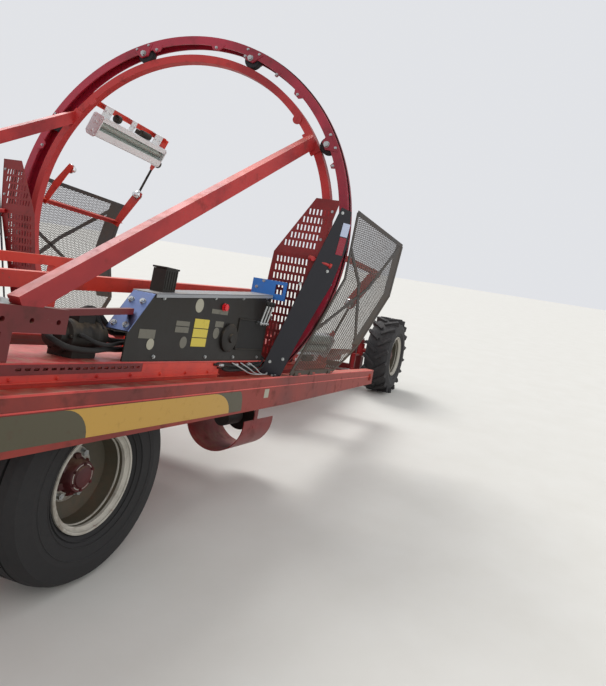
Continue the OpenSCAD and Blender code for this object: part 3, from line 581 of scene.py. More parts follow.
def ring_fasteners():
    """Axle nuts and bolts of the ring's rollers, and the bolts of its ears."""
    shape = Shape(*map(round_ring, ROLLER_ANGLES))
    for side in (-1, 1):
        shape.bolts([(side * 43, ROLLER_AXIS_R, 0)], X * side, 30, 12, 2.5)
        shape.bolts(product([side * 40], [RIM_R - 20], (-46, 46)), X * side, 15, 6)
    shape.places = list(map(round_ring, EAR_ANGLES))
    shape.bolts([(42, FLANGE_R - 10, 0)], X, 15, 7)
    shape.piece("ring_fasteners", "ring", ["zinc"])


def roller_treads():
    """Rounded tyres on the ring's rollers."""
    shape = Shape(*[moved(round_ring(angle), y=ROLLER_AXIS_R) for angle in ROLLER_ANGLES])
    shape.lathe([(16, -24), (34, -25), (46, -23), (52.5, -20), (54.2, -14), (54.2, 14),
                 (52.5, 20), (46, 23), (34, 25), (16, 24)], 40, "x", closed=True)
    shape.piece("roller_treads", "ring", ["roller"], replaces=["ring_rollers"])


# Roll carriers: in their axes y is out from the arms and z runs from the stretch unit's arm

ARM_SPREAD = math.radians(20)
ARM_R = 1190 * math.cos(ARM_SPREAD)
ARM_T = 1190 * math.sin(ARM_SPREAD)
CARRIERS = [moved(round_ring(angle), y=ARM_R, z=-ARM_T) for angle in (158, 338)]
REAR, FRONT = -900, -150
CONE_Y, CONE_Z = -55, ARM_T + 105
STRETCH_ROLLERS = ((-46, 118), (-52, 184))


def carrier_arms():
    """Angle-section arms with small plates for the stretch unit and the roll's cones."""
    x0, x1 = -960, -41
    foot = 2 * ARM_T + 20
    arms = Shape(*CARRIERS)
    for z, way in ((0, 1), (2 * ARM_T, -1)):
        arms.box(x0, x1, 14, 20, z - 20, z + 20)
        arms.box(x0, x1, -20, 20, z + way * 14, z + way * 20)
        arms.box(-64, x1, -50, 20, z - 55, z + 55)
    for outline in (
        [(20, -20), (-62, -14), (-62, 84), (-10, 96), (20, 60)],
        [(20, foot), (-40, foot), (-92, ARM_T + 140), (-92, ARM_T + 74), (-22, ARM_T + 74),
         (8, ARM_T + 250)],
        [(-74, 204), (-20, 204), (-30, 262), (-58, 268)],
    ):
        arms.prism(outline, "x", REAR - 8, REAR - 1)
    arms.prism([(20, foot), (-20, foot), (-78, ARM_T + 80), (-34, ARM_T + 74), (14, ARM_T + 250)],
               "x", FRONT + 1, FRONT + 8)
    arms.piece("carrier_bars", "ring", ["sunlit_tube_red"], bevel=1.0,
               replaces=["carrier_arms"])


def stretch_units():
    """Alloy channels with ribbed rollers between end plates, hung from the arms by clips."""
    r, rib = 33, 15
    profile = [(12, REAR + 8), (r - 2, REAR + 10)]
    for x in range(REAR + 30, FRONT - 30, rib):
        profile += [(r - 1.4, x), (r, x + 3), (r, x + 11), (r - 1.4, x + 14)]
    profile += [(r - 2, FRONT - 10), (12, FRONT - 8)]
    rollers = Shape(*CARRIERS)
    for y, z in STRETCH_ROLLERS:
        rollers.lathe(profile, 28, "x", (0, y, z))
    rollers.piece("stretch_rollers", "ring", ["shaded_roller_alloy"])
    frames = Shape(*CARRIERS)
    for channel in ((-96, -90, 64, 96), (-96, -40, 60, 66), (-104, -97, 162, 212),
                    (-104, -60, 208, 214)):
        frames.box(REAR + 4, FRONT - 4, *channel)
    for x, face, side in ((REAR, REAR, -1), (FRONT - 8, FRONT, 1)):
        frames.prism([(-104, 72), (-92, 58), (-4, 58), (6, 70), (2, 205), (-22, 226), (-84, 226),
                      (-104, 208)], "x", x, x + 8)
        frames.bolts([(face, y, z) for y, z in STRETCH_ROLLERS], X * side, 26, 10)
        frames.bolts([(face, -12, 78), (face, -86, 78), (face, -84, 208)], X * side, 14, 6)
    for x, wide in ((REAR + 90, 46), (REAR + 400, 26), (FRONT - 70, 42)):
        frames.box(x - wide, x + wide, -40, -34, -16, 64)
        frames.box(x - wide, x + wide, -40, 8, -22, -16)
        frames.bolts([(x - wide * 0.6, -40, 20), (x + wide * 0.6, -40, 20)], -Y, 15, 6)
    frames.piece("stretch_frames", "ring", ["cast_alloy"], bevel=1.2,
                 replaces=["stretchers"])


def roll_cones():
    """Cones at both ends of each roll's place, and the rear one's spindle."""
    cones = Shape(*CARRIERS)
    for x, way in ((REAR, 1), (FRONT, -1)):
        profile = [(8, 0), (30, 0), (34, 4), (34, 12), (26, 22), (20, 40), (12, 45)]
        cones.lathe([(r, way * t) for r, t in profile], 28, "x", (x, CONE_Y, CONE_Z))
    cones.lathe([(6, 0), (40, -2), (42, -6), (36, -12), (16, -18), (12, -30), (4, -32)], 28, "x",
                (REAR - 8, CONE_Y, CONE_Z))
    cones.piece("film_roll_cones", "ring", ["chrome"], replaces=["roll_cones"])


def carrier_drive():
    """Dark fittings and pulleys of the stretch units, and the chain from each to its cone."""
    links = 15
    foot = Vector((REAR - 12, -42, 262))
    head = Vector((REAR - 12, CONE_Y + 8, CONE_Z - 40))
    drive = Shape(*CARRIERS)
    drive.box(REAR + 190, REAR + 330, -58, -12, 22, 58)
    drive.lathe([(18, -40), (26, -36), (26, 60), (20, 66)], 20, "x", (REAR + 230, -40, 34))
    drive.lathe([(16, 0), (30, 4), (30, 40), (14, 44)], 20, "x", (FRONT - 200, -40, 30))
    drive.lathe([(8, -22), (30, -20), (34, -14), (34, -6), (28, -1), (8, 0)], 24, "x",
                (REAR, -74, 196))
    for k in range(links):
        a, b = foot.lerp(head, k / links), foot.lerp(head, (k + 0.96) / links)
        for t in (-5, 3):
            drive.bar(a + X * t, b + X * t, 15, 2.5, X)
        drive.rod(a - X * 8, a + X * 5, 5, 8)
    drive.piece("carrier_drive", "ring", ["chain"])


# Side beams

BAND_TOP = -62
BAND_FOOT = -168
BRACE_BOLT = (1985, 905, 260)


def curved_end(top, foot):
    """Points down a decal's curved end, between its x at the top and at the foot."""
    steps = 8
    turns = [math.pi / 2 * k / steps for k in range(steps + 1)]
    drop = BAND_TOP - BAND_FOOT
    return [(top + (foot - top) * math.sin(t), BAND_TOP - drop * (1 - math.cos(t))) for t in turns]


def beam_decals():
    """Blank yellow panel with curved ends between two olive bands, and a small pale one; the yellow
    and olive are darkened as painted shade.
    """
    back = BEAM_Y + 0.3
    nose = [(2560, BAND_TOP), (2500, BAND_FOOT)]
    front = curved_end(1790, 1670)
    rear = curved_end(860, 690)
    tail = curved_end(610, 560)
    shape = Shape()
    shape.prism(front + rear[::-1], "y", back, BEAM_Y + 1)
    shape.finish = 1
    shape.prism(rear + tail[::-1], "y", back, BEAM_Y + 0.9)
    shape.prism(nose + front[::-1], "y", back, BEAM_Y + 0.9)
    shape.finish = 2
    shape.box(262, 318, back, BEAM_Y + 1, -116, -66)
    shape.piece("beam_decals", "frame", ["shaded_yellow", "shaded_olive", "pale"])


def beam_fasteners():
    """Bolts of the brace mounts, the cross-members and what stands on the beams."""
    shape = Shape(*BOTH)
    shape.bolts([BRACE_BOLT], Z, 42, 12, 4)
    shape.bolts(product((2873, 2837, 2318, 2282), [BEAM_Y], (-70, -120)), Y, 16, 7)
    shape.bolts([(x, BEAM_Y - 22, 5) for x in (-690, -665, -350, -325, -110, -85)], Z, 12, 5)
    shape.bolts([(x, BEAM_Y - 30, 0) for x in (120, 160, 200)], Z, 14, 6)
    shape.piece("beam_fasteners", "frame", ["zinc"])


def beam_lips():
    """Raised lips along the beams' upper edges and the fold below them, in a paler red that paints
    a highlight along them.
    """
    x0, x1 = -1795, 2884
    lips = Shape(*BOTH)
    lips.box(x0, x1, BEAM_Y - 6, BEAM_Y + 1.5, -7, 1.5)
    lips.box(x0, x1, BEAM_Y + 0.2, BEAM_Y + 2.5, -58, -52)
    lips.piece("beam_lips", "frame", ["faded_and_highlight_red"], bevel=1.0)


# Ring guards and side strips

# The ring guard's front edge: x and height of its bend, and its slopes below and above it
BEND_X, BEND_Z = 215, 725
SLOPE_BELOW, SLOPE_ABOVE = 0.145, 0.03
# A strip's own axes: x back and out, y away from its face and z up its slope
STRIP_LEAN = math.degrees(math.atan(0.3134 / math.sqrt(2)))
STRIPS = [turned(turned(moved(base, 225, 936), 135, "Z"), STRIP_LEAN, "X") for base in BOTH]


def guard_trim():
    """Latch rods at the guards' bends, edge bolts, and bolts and reflectors on the strips."""
    rods = Shape(*BOTH)
    rods.rod((221, 1120, 716), (237, 1148, 712), 15, 14)
    rods.rod((236, 1130, 716), (161, 1222, 694), 9, 12)
    rods.rod((161, 1222, 694), (153, 1232, 691), 15, 14)
    rods.piece("guard_latches", "frame", ["red"], bevel=0.8)
    bolts = Shape(*BOTH)
    for y, z in ((980, 70), (1040, 300), (1098, 540), (1162, 830), (1200, 1000)):
        x = BEND_X - max(0, z - BEND_Z) * SLOPE_ABOVE - max(0, BEND_Z - z) * SLOPE_BELOW
        bolts.bolts([(x, y, z)], X, 13, 5)
    bolts.places = STRIPS
    bolts.bolts([(46, -5, 85), (120, -5, 110), (102, -5, 570), (245, -5, 676), (240, -5, 1025)],
                -Y, 14, 6)
    bolts.piece("guard_bolts", "frame", ["zinc"])
    lenses = Shape(*STRIPS)
    lenses.box(262, 308, -6.8, -5.2, 893, 972)
    lenses.finish = 1
    lenses.box(264, 308, -6.8, -5.2, 783, 888)
    lenses.piece("side_reflectors", "frame", ["white_lens", "red_lens"], bevel=1.0)


# Mesh guards, drawn on the left: the bend in y and height, the rest in x and height

FOOT, KNEE, TOP = 22, 640, 1045
GUARD_BEND = [(1058, FOOT), (1292, KNEE), (1300, TOP)]
GUARD_OUTLINE = [(40, FOOT), (-700, FOOT), (-830, 118), (-950, 233), (-1010, KNEE),
                 (-1100, TOP), (40, TOP)]
GUARD_STAYS = [((39, 824), (-808, 268)), ((20, 318), (-1000, 1012))]
GUARD_REAR = GUARD_OUTLINE[3:6]
WIDE_BARS_X = -800
SHADE_FLAP_W = 165
HINGE_Y, HINGE_Z = 1054, 11
# Half a mesh opening's width and height, and the strands' directions below and above the bend
HALF_X, HALF_Z = 21, 6.5
STRAND_FLAT = ((0, 0.9, -0.35), Y)


def bend_run(z):
    """The part of the bend that a height lies in."""
    return GUARD_BEND[:2] if z < KNEE else GUARD_BEND[1:]


def bend_y(z):
    (y0, z0), (y1, z1) = bend_run(z)
    return y0 + (y1 - y0) * (z - z0) / (z1 - z0)


def across_bend(a, b):
    """Splits a line in x and height where it crosses the bend, and gives it its y."""
    line = [a, b]
    if (a[1] - KNEE) * (b[1] - KNEE) < 0:
        share = (KNEE - a[1]) / (b[1] - a[1])
        line.insert(1, (a[0] + (b[0] - a[0]) * share, KNEE))
    return [(x, bend_y(z) + 1.5, z) for x, z in line]


def guard_frame(side, base):
    """Flat bars round the guard and across it, a dark solid flap at its rear that paints the shade
    seen through the mesh there, and its hinges.
    """
    bars = Shape(base)
    edges = list(zip(GUARD_OUTLINE, GUARD_OUTLINE[1:] + GUARD_OUTLINE[:1]))
    for a, b in edges + GUARD_STAYS:
        wide = 36 if max(a[0], b[0]) < WIDE_BARS_X else 30
        route = across_bend(a, b)
        for p, q in zip(route, route[1:]):
            (y0, z0), (y1, z1) = bend_run((p[2] + q[2]) / 2)
            bars.bar(p, q, wide, 6, (0, z1 - z0, y0 - y1))
    # A dark sheet along the rear edges: painted shade where the mesh shows the shaded space behind
    # it
    for (x0, z0), (x1, z1) in zip(GUARD_REAR, GUARD_REAR[1:]):
        shade_flap = [(x0, z0), (x0 + SHADE_FLAP_W, z0), (x1 + SHADE_FLAP_W, z1), (x1, z1)]
        bars.loft([[(x, bend_y(z) + t, z) for x, z in shade_flap] for t in (0.2, 2.4)])
    bars.places = [SIDES[side]]
    for x in (-640, -300, -60):
        bars.rod((x, HINGE_Y, HINGE_Z), (x + 50, HINGE_Y, HINGE_Z), 9, 14)
        bars.box(x, x + 50, HINGE_Y - 2, HINGE_Y + 10, HINGE_Z, 34)
    bars.piece(side + "_guard_frame", side + "_guard", ["guard_bar"], bevel=0.8,
               replaces=[side + "_mesh_guard"])


def guard_mesh(side, base):
    """Zigzag strands of the expanded metal, inside the guard's outline."""
    strands = Shape(base)
    for row, column in product(range(int(TOP / HALF_Z / 2)), range(int(1150 / HALF_X))):
        x, z = 36 - column * HALF_X, 30 + row * HALF_Z * 2
        rise = HALF_Z if column % 2 else -HALF_Z
        if inside(GUARD_OUTLINE, x - HALF_X / 2, z):
            a = (x, bend_y(z - rise) + 1, z - rise)
            b = (x - HALF_X, bend_y(z + rise) + 1, z + rise)
            strands.bar(a, b, 5.2, 2, STRAND_FLAT[z >= KNEE])
    strands.piece(side + "_guard_mesh", side + "_guard", ["mesh"])


def mesh_guards():
    for side in SIDES:
        base = moved(SIDES[side], y=-4)
        guard_frame(side, base)
        guard_mesh(side, base)


# Control box and deck

BOX_X, BOX_Y, BOX_L, BOX_D = 240, 830, 1190, 110
BOX = moved(DECK, BOX_X, BOX_Y, DECK_TOP)
FACE_Y = BOX_Y + BOX_D
LID_RISE = math.tan(math.radians(5.3))
LID_END = 1058
# The slanted corner, in the box's own axes
CORNER_LOW, CORNER_HIGH = Vector((BOX_L, 0, 113.4)), Vector((1060, 0, 282))
MOTOR = moved(DECK, BOX_X + BOX_L + 12, BOX_Y - 10, DECK_TOP + 80)

# Blank labels on the box's side: x and z of two corners, and the finish
LABELS = [
    (1018, 1121, 240, 262, 1), (1018, 1121, 210, 236, 1), (1255, 1360, 176, 214, 1),
    (722, 800, 250, 279, 1), (700, 852, 314, 336, 1), (856, 980, 237, 280, 0),
    (856, 980, 193, 233, 0), (856, 980, 149, 189, 0),
]
# Round labels and dials: x, z, radius and finish
DISCS = [(965, 342, 33, 2), (1042, 166, 27, 1), (1275, 153, 24, 2), (778, 219, 28, 1)]


def lid_z(x):
    return 270 + (BOX_L - x) * LID_RISE


def control_labels():
    shape = Shape()
    for x0, x1, z0, z1, finish in LABELS:
        shape.finish = finish
        shape.box(x0, x1, FACE_Y + 0.3, FACE_Y + 1.2, z0, z1)
    for x, z, r, finish in DISCS:
        shape.finish = finish
        shape.lathe([(r, 0.3), (r, 1.2)], 30, "y", (x, FACE_Y, z))
    shape.piece("control_labels", "frame", ["label", "grey_label", "pale"])


def box_corner():
    """The corner's bare plate, tinted blue-grey as a painted reflection of the sky, and the bolts
    of the plate, the box and its bracket.
    """
    low, high = CORNER_LOW, CORNER_HIGH
    out = Vector((high.z - low.z, 0, low.x - high.x)).normalized()
    a, b = low.lerp(high, 0.03), low.lerp(high, 0.99)
    plate = Shape(BOX)
    plate.prism([(p.x, p.z) for p in (a, b, b + out * 4, a + out * 4)], "y", 4, BOX_D + 2)
    plate.piece("box_corner_plate", "frame", ["sky_reflection_steel"], bevel=0.8)
    bolts = Shape(BOX)
    for share, y in ((0.16, 26), (0.16, 84), (0.76, 26), (0.76, 82)):
        bolts.bolts([low.lerp(high, share) + out * 4 + Y * y], out, 20, 8)
    for x in (60, 330, 600, 1000):
        bolts.bolts([(x, BOX_D, lid_z(x) - 16), (x, BOX_D, 20)], Y, 13, 5)
    bolts.places = [DECK]
    bolts.bolts([(BOX_X, 830, 456), (BOX_X, 830, 500), (BOX_X, 870, 540)], X, 14, 6)
    bolts.piece("box_bolts", "frame", ["zinc"])


def box_lid():
    """The folded lid, the vent's cap and ribs, the recess with its rim, and the round cover."""
    vent_z = lid_z(898)
    face = BOX_D + 0.3
    lid = Shape(BOX)
    # The lid's pale grey finish is dust and a painted highlight of the sun on black paint
    for down, up, y0 in ((0, 5, -6), (14, 4, BOX_D + 3)):
        lid.prism([(2, lid_z(2) - down), (LID_END, lid_z(LID_END) - down),
                   (LID_END, lid_z(LID_END) + up), (2, lid_z(2) + up)], "y", y0, BOX_D + 7)
    lid.finish = 1
    lid.box(894, 988, 16, 89, vent_z + 99, vent_z + 107)
    for x in range(902, 987, 17):
        lid.box(x, x + 6, 84, 88, vent_z + 12, vent_z + 92)
    for x0, z0, z1 in ((20, 60, 66), (20, 222, 228), (330, 60, 228)):
        lid.box(x0, 336, face, BOX_D + 8, z0, z1)
    lid.lathe([(74, 0.3), (74, 12), (66, 18), (24, 20), (22, 30), (1, 31)], 36, "y",
              (415, BOX_D, 120))
    lid.piece("box_lid", "frame", ["lid", "black"], bevel=1.2)
    recess = Shape(BOX)
    recess.box(20, 332, face, BOX_D + 1.5, 62, 226)
    recess.piece("box_recess", "frame", ["hose"])


def stop_button():
    button = Shape()
    button.lathe([(20, 0.3), (20, 5), (12, 6), (12, 10), (18, 13), (18, 18), (12, 21), (0.5, 22)],
                 24, "y", (746, FACE_Y, 352))
    button.piece("stop_button", "frame", ["signal_red"])


def levers():
    """Knobs and sleeves on the control levers, and the valve block behind them."""
    lean = math.radians(12)
    knobs = Shape()
    steel = Shape()
    for x in (0, 36, 72):
        foot = Vector((BOX_X + 60 + x, FACE_Y + 25, DECK_TOP + 216))
        tip = foot + Vector((0, 110 * math.sin(lean), 110 * math.cos(lean)))
        knobs.lathe([(4, -10), (9, -4), (12, 6), (9, 16), (2, 20)], 16, "z", tip)
        steel.rod(foot - Y * 18, foot + Y * 6, 12, 14)
        steel.bolts([foot + Y * 6], Y, 14, 5)
    knobs.piece("lever_knobs", "frame", ["hose"])
    for y, z in ((850, 150), (866, 190), (882, 230), (898, 270)):
        steel.rod((228, y, z), (205, y, z), 13, 6)
        steel.rod((205, y, z), (190, y, z), 9, 12)
    steel.box(226, 239.8, 820, 930, 120, 300)
    steel.piece("valve_fittings", "frame", ["chrome"], bevel=0.8)


def feed_motor():
    """Hydraulic motor of the pusher with its foot, port block and hoses."""
    body = Shape(MOTOR)
    body.lathe([(30, 0), (50, 0), (50, 42), (65, 46), (65, 62), (61, 66), (61, 96), (64, 100),
                (64, 124), (61, 128), (61, 180), (65, 184), (65, 198), (48, 202), (45, 232),
                (20, 240)], 36, "x")
    body.box(60, 180, -55, 55, -80, -45)
    body.box(68, 152, -34, 34, 50, 82)
    body.bolts([(198, 56 * c, 56 * s) for c, s in circle(6)], X, 13, 6)
    body.bolts([(72, 46, -56), (168, 46, -56)], Z, 14, 7)
    body.piece("feed_motor_body", "frame", ["black"], bevel=1.0,
               replaces=["feed_motor"])
    hoses = Shape(MOTOR)
    ends = Shape(MOTOR)
    for x, y, drop in ((90, -14, 0), (130, 14, -30)):
        hoses.sweep([(x, y, 80), (x - 4, y, 96), (x - 50, y + 6, 104), (x - 110, y + 14, 60 + drop),
                     (x - 150, y + 16, 24 + drop), (-90, y + 16, 16 + drop),
                     (-205, y + 20, 20 + drop)], 11, 10)
        ends.rod((x, y, 80), (x, y, 92), 14, 6)
    hoses.sweep([(238, 0, 0), (262, 6, 4), (282, 50, -10), (236, 84, -34), (130, 88, -44),
                 (20, 70, -40), (-90, 40, -46), (-205, 30, -40)], 11, 10)
    hoses.sweep([(160, 60, 6), (172, 84, 8), (110, 98, -14), (30, 84, -22), (-80, 56, -16),
                 (-205, 50, -14)], 8, 10)
    hoses.piece("feed_hoses", "frame", ["hose"])
    ends.rod((238, 0, 0), (250, 0, 0), 14, 6)
    for y, z in ((6, 20), (34, -10), (30, -40), (50, -14)):
        ends.rod((-210, y, z), (-190, y, z), 13, 6)
    ends.piece("hose_ends", "frame", ["zinc"])


def deck_lines():
    """Hoses and thin pipes between the box and the beam, with their unions."""
    hoses = Shape()
    pipes = Shape()
    for k, (y, z) in enumerate(((950, 66), (962, 58), (956, 44), (972, 34))):
        hoses.sweep([(800 - 40 * k, y - 14, z + 6), (640, y, z), (500, y + 8, z - 12 + 5 * k),
                     (380, y + 2, z - 4), (270, y - 6, z + 8), (190, y - 30, z + 34)], 6.5, 10)
    for k in range(3):
        pipes.sweep([(600 - 90 * k, 960, 72), (540 - 80 * k, 990, 46), (470 - 60 * k, 1004, 22),
                     (360 - 30 * k, 1006, 12), (250, 1000, 10 + 5 * k)], 3.6, 8)
        x = 690 - 150 * k
        pipes.rod((x, 958, 60), (x + 30, 958, 60), 11, 6)
        pipes.rod((x + 30, 958, 60), (x + 44, 958, 60), 8, 12)
    hoses.piece("deck_hoses", "frame", ["hose"])
    pipes.piece("deck_pipes", "frame", ["zinc"])


def wheel_skirts():
    """Folded covers over the front wheels, from the slotted rails down beside the beams."""
    inner, outer = 944, 948
    skirts = Shape(*BOTH)
    skirts.box(700, 1990, inner, outer, -60, 40)
    skirts.box(700, 1990, outer, outer + 9, 12, 16)
    skirts.box(720, 1306, inner, outer, 40, 74)
    skirts.bolts([(x, outer, 27) for x in range(800, 1960, 190)], Y, 12, 5)
    skirts.piece("wheel_skirts", "frame", ["sunlit_tube_red"], bevel=0.8)


# Engine and oil tank, in the axes of their platform

PLATFORM = moved(DECK, 2810, 0, 20)
FAN = Vector((0, -180, 185))


def engine_trim():
    """Fins, fan grille, silencer and caps of the engine, and the hose from the tank."""
    trim = Shape(PLATFORM)
    for z in range(78, 263, 23):
        trim.box(-155, 155, -604, -236, z, z + 7)
    trim.box(-64, 124, -662, -598, 186, 192)
    for r in (30, 40, 50, 60):
        trim.lathe([(r, 40), (r + 4, 40), (r + 4, 45), (r, 45)], 32, "y", FAN, closed=True)
    for c, s in circle(12):
        reach = X * c + Z * s
        trim.bar(FAN + reach * 74, FAN + reach * 122, 7, 6, Y)
    trim.lathe([(34, 350), (37, 354), (37, 366), (30, 371), (6, 373)], 28, "z", (-20, -400, 0))
    trim.bolts(product((-172.9, 172.9), (-570, -270), [60]), Z, 19, 10, 3)
    trim.piece("engine_trim", "frame", ["black"], bevel=0.6)
    silencer = Shape(PLATFORM)
    for y in range(-540, -374, 33):
        silencer.box(200, 203, y, y + 18, 172, 248)
    silencer.sweep([(175, -360, 268), (175, -360, 300), (182, -340, 322), (196, -310, 330)], 15, 14)
    silencer.bolts([(200, -547, 210), (200, -343, 210)], X, 14, 6)
    silencer.piece("silencer_guard", "frame", ["chain"], bevel=0.5)
    hose = Shape(PLATFORM)
    hose.sweep([(-60, 202, 40), (-64, 150, 34), (-60, 60, 24), (-30, -60, 22), (-10, -130, 60),
                (-8, -172, 96)], 15, 12)
    hose.piece("suction_hose", "frame", ["hose"])


def tank_trim():
    """Filler cap, sight glass, return filter and seams of the oil tank."""
    trim = Shape(PLATFORM)
    trim.lathe([(31, 352), (38, 352), (38, 372), (33, 377), (4, 378)], 30, "z", (-110, 300, 0))
    trim.lathe([(44, 340), (44, 352), (36, 356), (36, 366), (4, 368)], 30, "z", (60, 520, 0))
    trim.bolts([(60 + 36 * c, 520 + 36 * s, 352) for c, s in circle(4, 0.5)], Z, 9, 4)
    trim.box(190, 194, 250, 278, 150, 300)
    trim.bolts([(194, 264, 162), (194, 264, 288)], X, 16, 6)
    trim.bolts(product((-204, 204), (240, 600), [0]), Z, 17, 8, 3)
    trim.piece("tank_fittings", "frame", ["zinc"], bevel=0.6)
    seams = Shape(PLATFORM)
    for x, y in product((-188.1, 188.1), (204, 636)):
        seams.rod((x, y, 4), (x, y, 338), 5, 8)
    seams.box(-193, 193, 197, 643, 330, 338)
    seams.piece("tank_seams", "frame", ["red"], bevel=0.8)


# Pusher, tongue and running gear

# The pusher stands a small clearance above the front table's sheet
TABLE_Z, TABLE_T, CLEARANCE = -10, 6, 0.3
PUSHER = moved(DECK, 2300, 0, TABLE_Z + TABLE_T + CLEARANCE)
TONGUE_FALL = 10.8
TONGUE = turned(moved(DECK, 2950, 0, -137.5), FRAME_PITCH + TONGUE_FALL, "Y")
KINGPIN_X, KINGPIN_Y = -2900, 560
TIE_ROD_X, TIE_ROD_Z = -2710, -113
# Flush screws of the tables: their places along the machine and the height of their heads
TABLE_SCREWS = (((120, 700, 1280, 1860, 2440), -4.4), ((-1090, -1700, -2300, -3100), 5.6))


def pusher_trim():
    """Bolts, folded edges and stiffeners of the pusher's plate."""
    bolts = Shape(PUSHER)
    bolts.bolts(product([0], (-330, 0, 330), (110, 300, 490, 680, 870)), -X, 17, 5, 2)
    bolts.bolts(product((60, 150), (-180, 180), [60]), Z, 20, 10, 3)
    bolts.piece("pusher_bolts", "pusher", ["zinc"])
    edges = Shape(PUSHER)
    edges.box(-2, 12, -432, 432, 890, 902)
    edges.places = [PUSHER, PUSHER @ MIRROR]
    edges.box(-2, 12, 420, 432, 118, 902)
    for z in (180, 480, 780):
        edges.box(10, 60, 330, 425, z, z + 6)
    edges.piece("pusher_edges", "pusher", ["dark_red"], bevel=0.8)


def tongue_trim():
    """Pin collars, the eye's bolts, and a hose with its clips along the tongue."""
    steel = Shape(TONGUE)
    for y in (-382, -278, 278, 382):
        steel.lathe([(20, -2), (34, -2), (34, 2), (20, 2)], 24, "y", (0, y, 0), closed=True)
    steel.bolts(product((1400, 1480), (-50, 50), [44]), Z, 20, 10, 3)
    for x, y in ((420, 252), (860, 168), (1220, 98)):
        steel.box(x, x + 24, y - 22, y + 22, 38, 44)
    steel.piece("tongue_fittings", "tongue", ["zinc"], bevel=0.6)
    hose = Shape(TONGUE)
    hose.sweep([(120, 296, 50), (432, 250, 52), (870, 166, 50), (1232, 96, 51), (1420, 60, 60),
                (1560, 10, 40)], 8, 10)
    hose.piece("tongue_hose", "tongue", ["hose"])


def running_gear_trim():
    """Kingpin nuts, axle bolts and the tables' flush screws, and the tie rod's lock nuts."""
    shape = Shape(*BOTH)
    shape.bolts([(KINGPIN_X, KINGPIN_Y, 224.3)], Z, 38, 16, 4)
    shape.bolts(product([KINGPIN_X - 45], (470, 560), [-10]), -X, 20, 8)
    shape.bolts(product([1355], (290, 380), [-140]), -X, 20, 8)
    shape.places = [SIDES["right"]]
    for places, z in TABLE_SCREWS:
        for x, y in product(places, (-170, 170)):
            shape.rod((x, y, z), (x, y, z + 1.5), 13, 18)
    shape.piece("frame_bolts", "frame", ["zinc"])
    locks = Shape(*BOTH)
    for y0, y1, r, sides in ((480, 500, 17, 6), (500, 536, 14, 14)):
        locks.rod((TIE_ROD_X, y0, TIE_ROD_Z), (TIE_ROD_X, y1, TIE_ROD_Z), r, sides)
    locks.lathe([(22, -128), (29, -130), (29, -133), (10, -134)], 18, "z",
                (TIE_ROD_X, KINGPIN_Y, 0))
    locks.piece("tie_rod_nuts", "tie_rod", ["zinc"])


# Wheels

WHEELS = {"front": {"nuts": 6, "rim_width": 300, "tyre_width": 300, "finish": "tyre"},
          "rear": {"nuts": 5, "rim_width": 280, "tyre_width": 264, "finish": "rear_tyre"}}


def hub_dressing(name, wheel):
    """Red lobed hub, its dust cap, the wheel nuts and the valve."""
    base, nuts = wheel_place(name), wheel["nuts"]
    hub = Shape(base)
    hub.lathe([(70, 8), (74, 16), (70, 24), (66, 50), (60, 60), (44, 63), (41, 69), (24, 73),
               (1, 74)], 36)
    hub.places = [turned(base, 360 * (k + 0.5) / nuts, "Z") for k in range(nuts)]
    hub.prism([(56, 10), (86, 10), (84, 22), (62, 34)], "y", -15, 15)
    hub.bolts([(52, 0, 61)], Z, 12, 6)
    hub.piece(name + "_hub", name + "_wheel", ["hub_red"], bevel=0.8)
    steel = Shape(base)
    steel.bolts([(92 * c, 92 * s, 3) for c, s in circle(nuts)], Z, 24, 16, 3)
    steel.rod((168, 20, 30), (150, 18, 58), 5, 10)
    steel.piece(name + "_nuts", name + "_wheel", ["zinc"])


def rim_dressing(name, wheel):
    """Stepped rings of the rim, and the barrel between them and the disc, dark with mud and with
    painted shade of the deep dish.
    """
    edge = (wheel["rim_width"] - 50) / 2
    rings = Shape(wheel_place(name))
    for r, z, t in ((203, edge - 2, 4), (189, edge - 20, 7), (181, edge - 44, 3)):
        rings.lathe([(r - t, z - t), (r - t, z + t - 1), (r - t + 1, z + t), (r + t - 1, z + t),
                     (r + t, z + t - 1), (r + t, z - t)], 72, closed=True)
    rings.piece(name + "_rim_rings", name + "_wheel", ["rim"])
    barrel = Shape(wheel_place(name))
    barrel.lathe([(186, edge - 30), (184, edge - 26), (176, 14), (112, -3), (113, -5), (178, 10)],
                 72, closed=True)
    barrel.piece(name + "_rim_mud_and_shade", name + "_wheel", ["mud"])


def tyre_ridges(name, wheel):
    """Rim-line ridges on both sidewalls."""
    half = wheel["tyre_width"] / 2
    ridges = Shape(wheel_place(name))
    for side in (-1, 1):
        for r, z in ((232, half - 16), (252, half - 4.5), (300, half - 1.5)):
            profile = [(r - 3, z - 2), (r - 3, z + 1), (r, z + 3), (r + 3, z + 1), (r + 3, z - 2)]
            ridges.lathe([(a, side * b) for a, b in profile], 72, closed=True)
    ridges.piece(name + "_ridges", name + "_wheel", [wheel["finish"]])


def wheels():
    for side, dress in product(SIDES, (hub_dressing, rim_dressing, tyre_ridges)):
        for axle, wheel in WHEELS.items():
            dress(side + "_" + axle, wheel)


# Camera and stage, from the photograph's viewpoint

CAMERA_AT = (2.730, 2.526, 1.453)
YAW, PITCH, ROLL = 0.264, 0.087, 0.147
PHOTO_W, PHOTO_H = 606, 686
CENTRE_X, CENTRE_Y = 390, 310
FOCAL_PX = 608.6
SENSOR = 36
FLOOR = 40
# Suns: name, strength, spread in degrees and direction towards the sun
LAMPS = (("key", 1.9, 28, (-0.45, -0.62, 0.8)), ("fill", 0.5, 60, (0.6, 0.9, 0.5)))


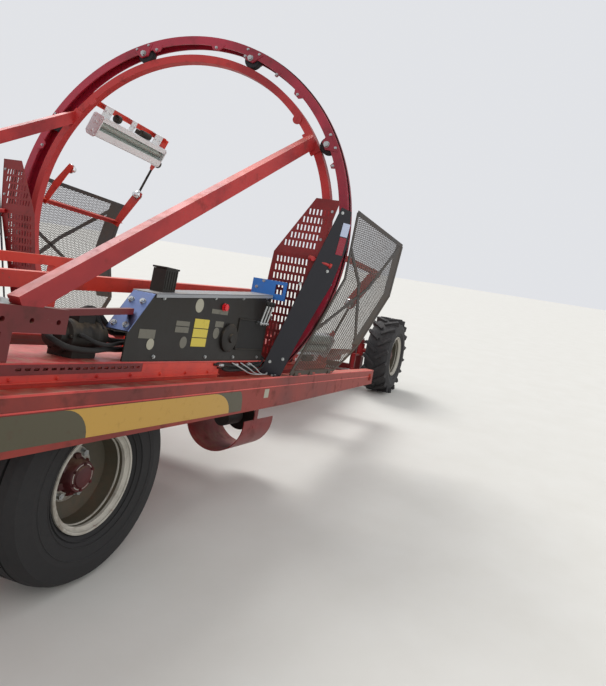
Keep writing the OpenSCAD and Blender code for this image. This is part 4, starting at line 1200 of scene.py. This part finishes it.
def add_camera():
    # Rows are right, down and forward for a level view back along the machine
    level = Matrix(((0, 1, 0), (0, 0, -1), (-1, 0, 0)))
    right, down, forward = (Matrix.Rotation(ROLL, 3, "Z") @ Matrix.Rotation(PITCH, 3, "X")
                            @ Matrix.Rotation(YAW, 3, "Y") @ level)
    data = bpy.data.cameras.new("camera")
    data.sensor_width = SENSOR
    data.lens = FOCAL_PX * SENSOR / PHOTO_H
    data.shift_x = (PHOTO_W / 2 - CENTRE_X) / PHOTO_H
    data.shift_y = (CENTRE_Y - PHOTO_H / 2) / PHOTO_H
    data.clip_start = 0.05
    camera = add_object("camera", data)
    turn = Matrix((right, -down, -forward)).transposed().to_4x4()
    camera.matrix_world = Matrix.Translation(CAMERA_AT) @ turn
    bpy.context.scene.camera = camera


def add_stage():
    stone = Finish()
    stone.material.name = "pale_floor"
    grain = stone.noise(3.0, 6.0)
    stone.set(Base_Color=stone.mix(colour("#d9d7d1"), colour("#cfccc4"), grain), Roughness=0.9)
    mesh = bpy.data.meshes.new("floor")
    mesh.from_pydata([(-FLOOR, -FLOOR, 0), (FLOOR, -FLOOR, 0), (FLOOR, FLOOR, 0),
                      (-FLOOR, FLOOR, 0)], [], [(0, 1, 2, 3)])
    mesh.materials.append(stone.material)
    floor = add_object("floor", mesh)
    sky = bpy.data.worlds.new("studio")
    sky.use_nodes = True
    background = sky.node_tree.nodes["Background"]
    background.inputs["Color"].default_value = (0.89, 0.905, 0.94, 1)
    background.inputs["Strength"].default_value = 0.85
    bpy.context.scene.world = sky
    for name, strength, spread, direction in LAMPS:
        lamp = bpy.data.lights.new(name, "SUN")
        lamp.energy = strength
        lamp.angle = math.radians(spread)
        turn = Vector(direction).to_track_quat("Z", "Y").to_euler()
        add_object(name, lamp).rotation_euler = turn
    bpy.context.scene.view_settings.view_transform = "Standard"


add_camera()
add_stage()
finish_nodes()
ring_chain()
ring_fasteners()
roller_treads()
carrier_arms()
stretch_units()
roll_cones()
carrier_drive()
beam_decals()
beam_fasteners()
beam_lips()
guard_trim()
mesh_guards()
control_labels()
box_corner()
box_lid()
stop_button()
levers()
feed_motor()
deck_lines()
wheel_skirts()
engine_trim()
tank_trim()
pusher_trim()
tongue_trim()
running_gear_trim()
wheels()
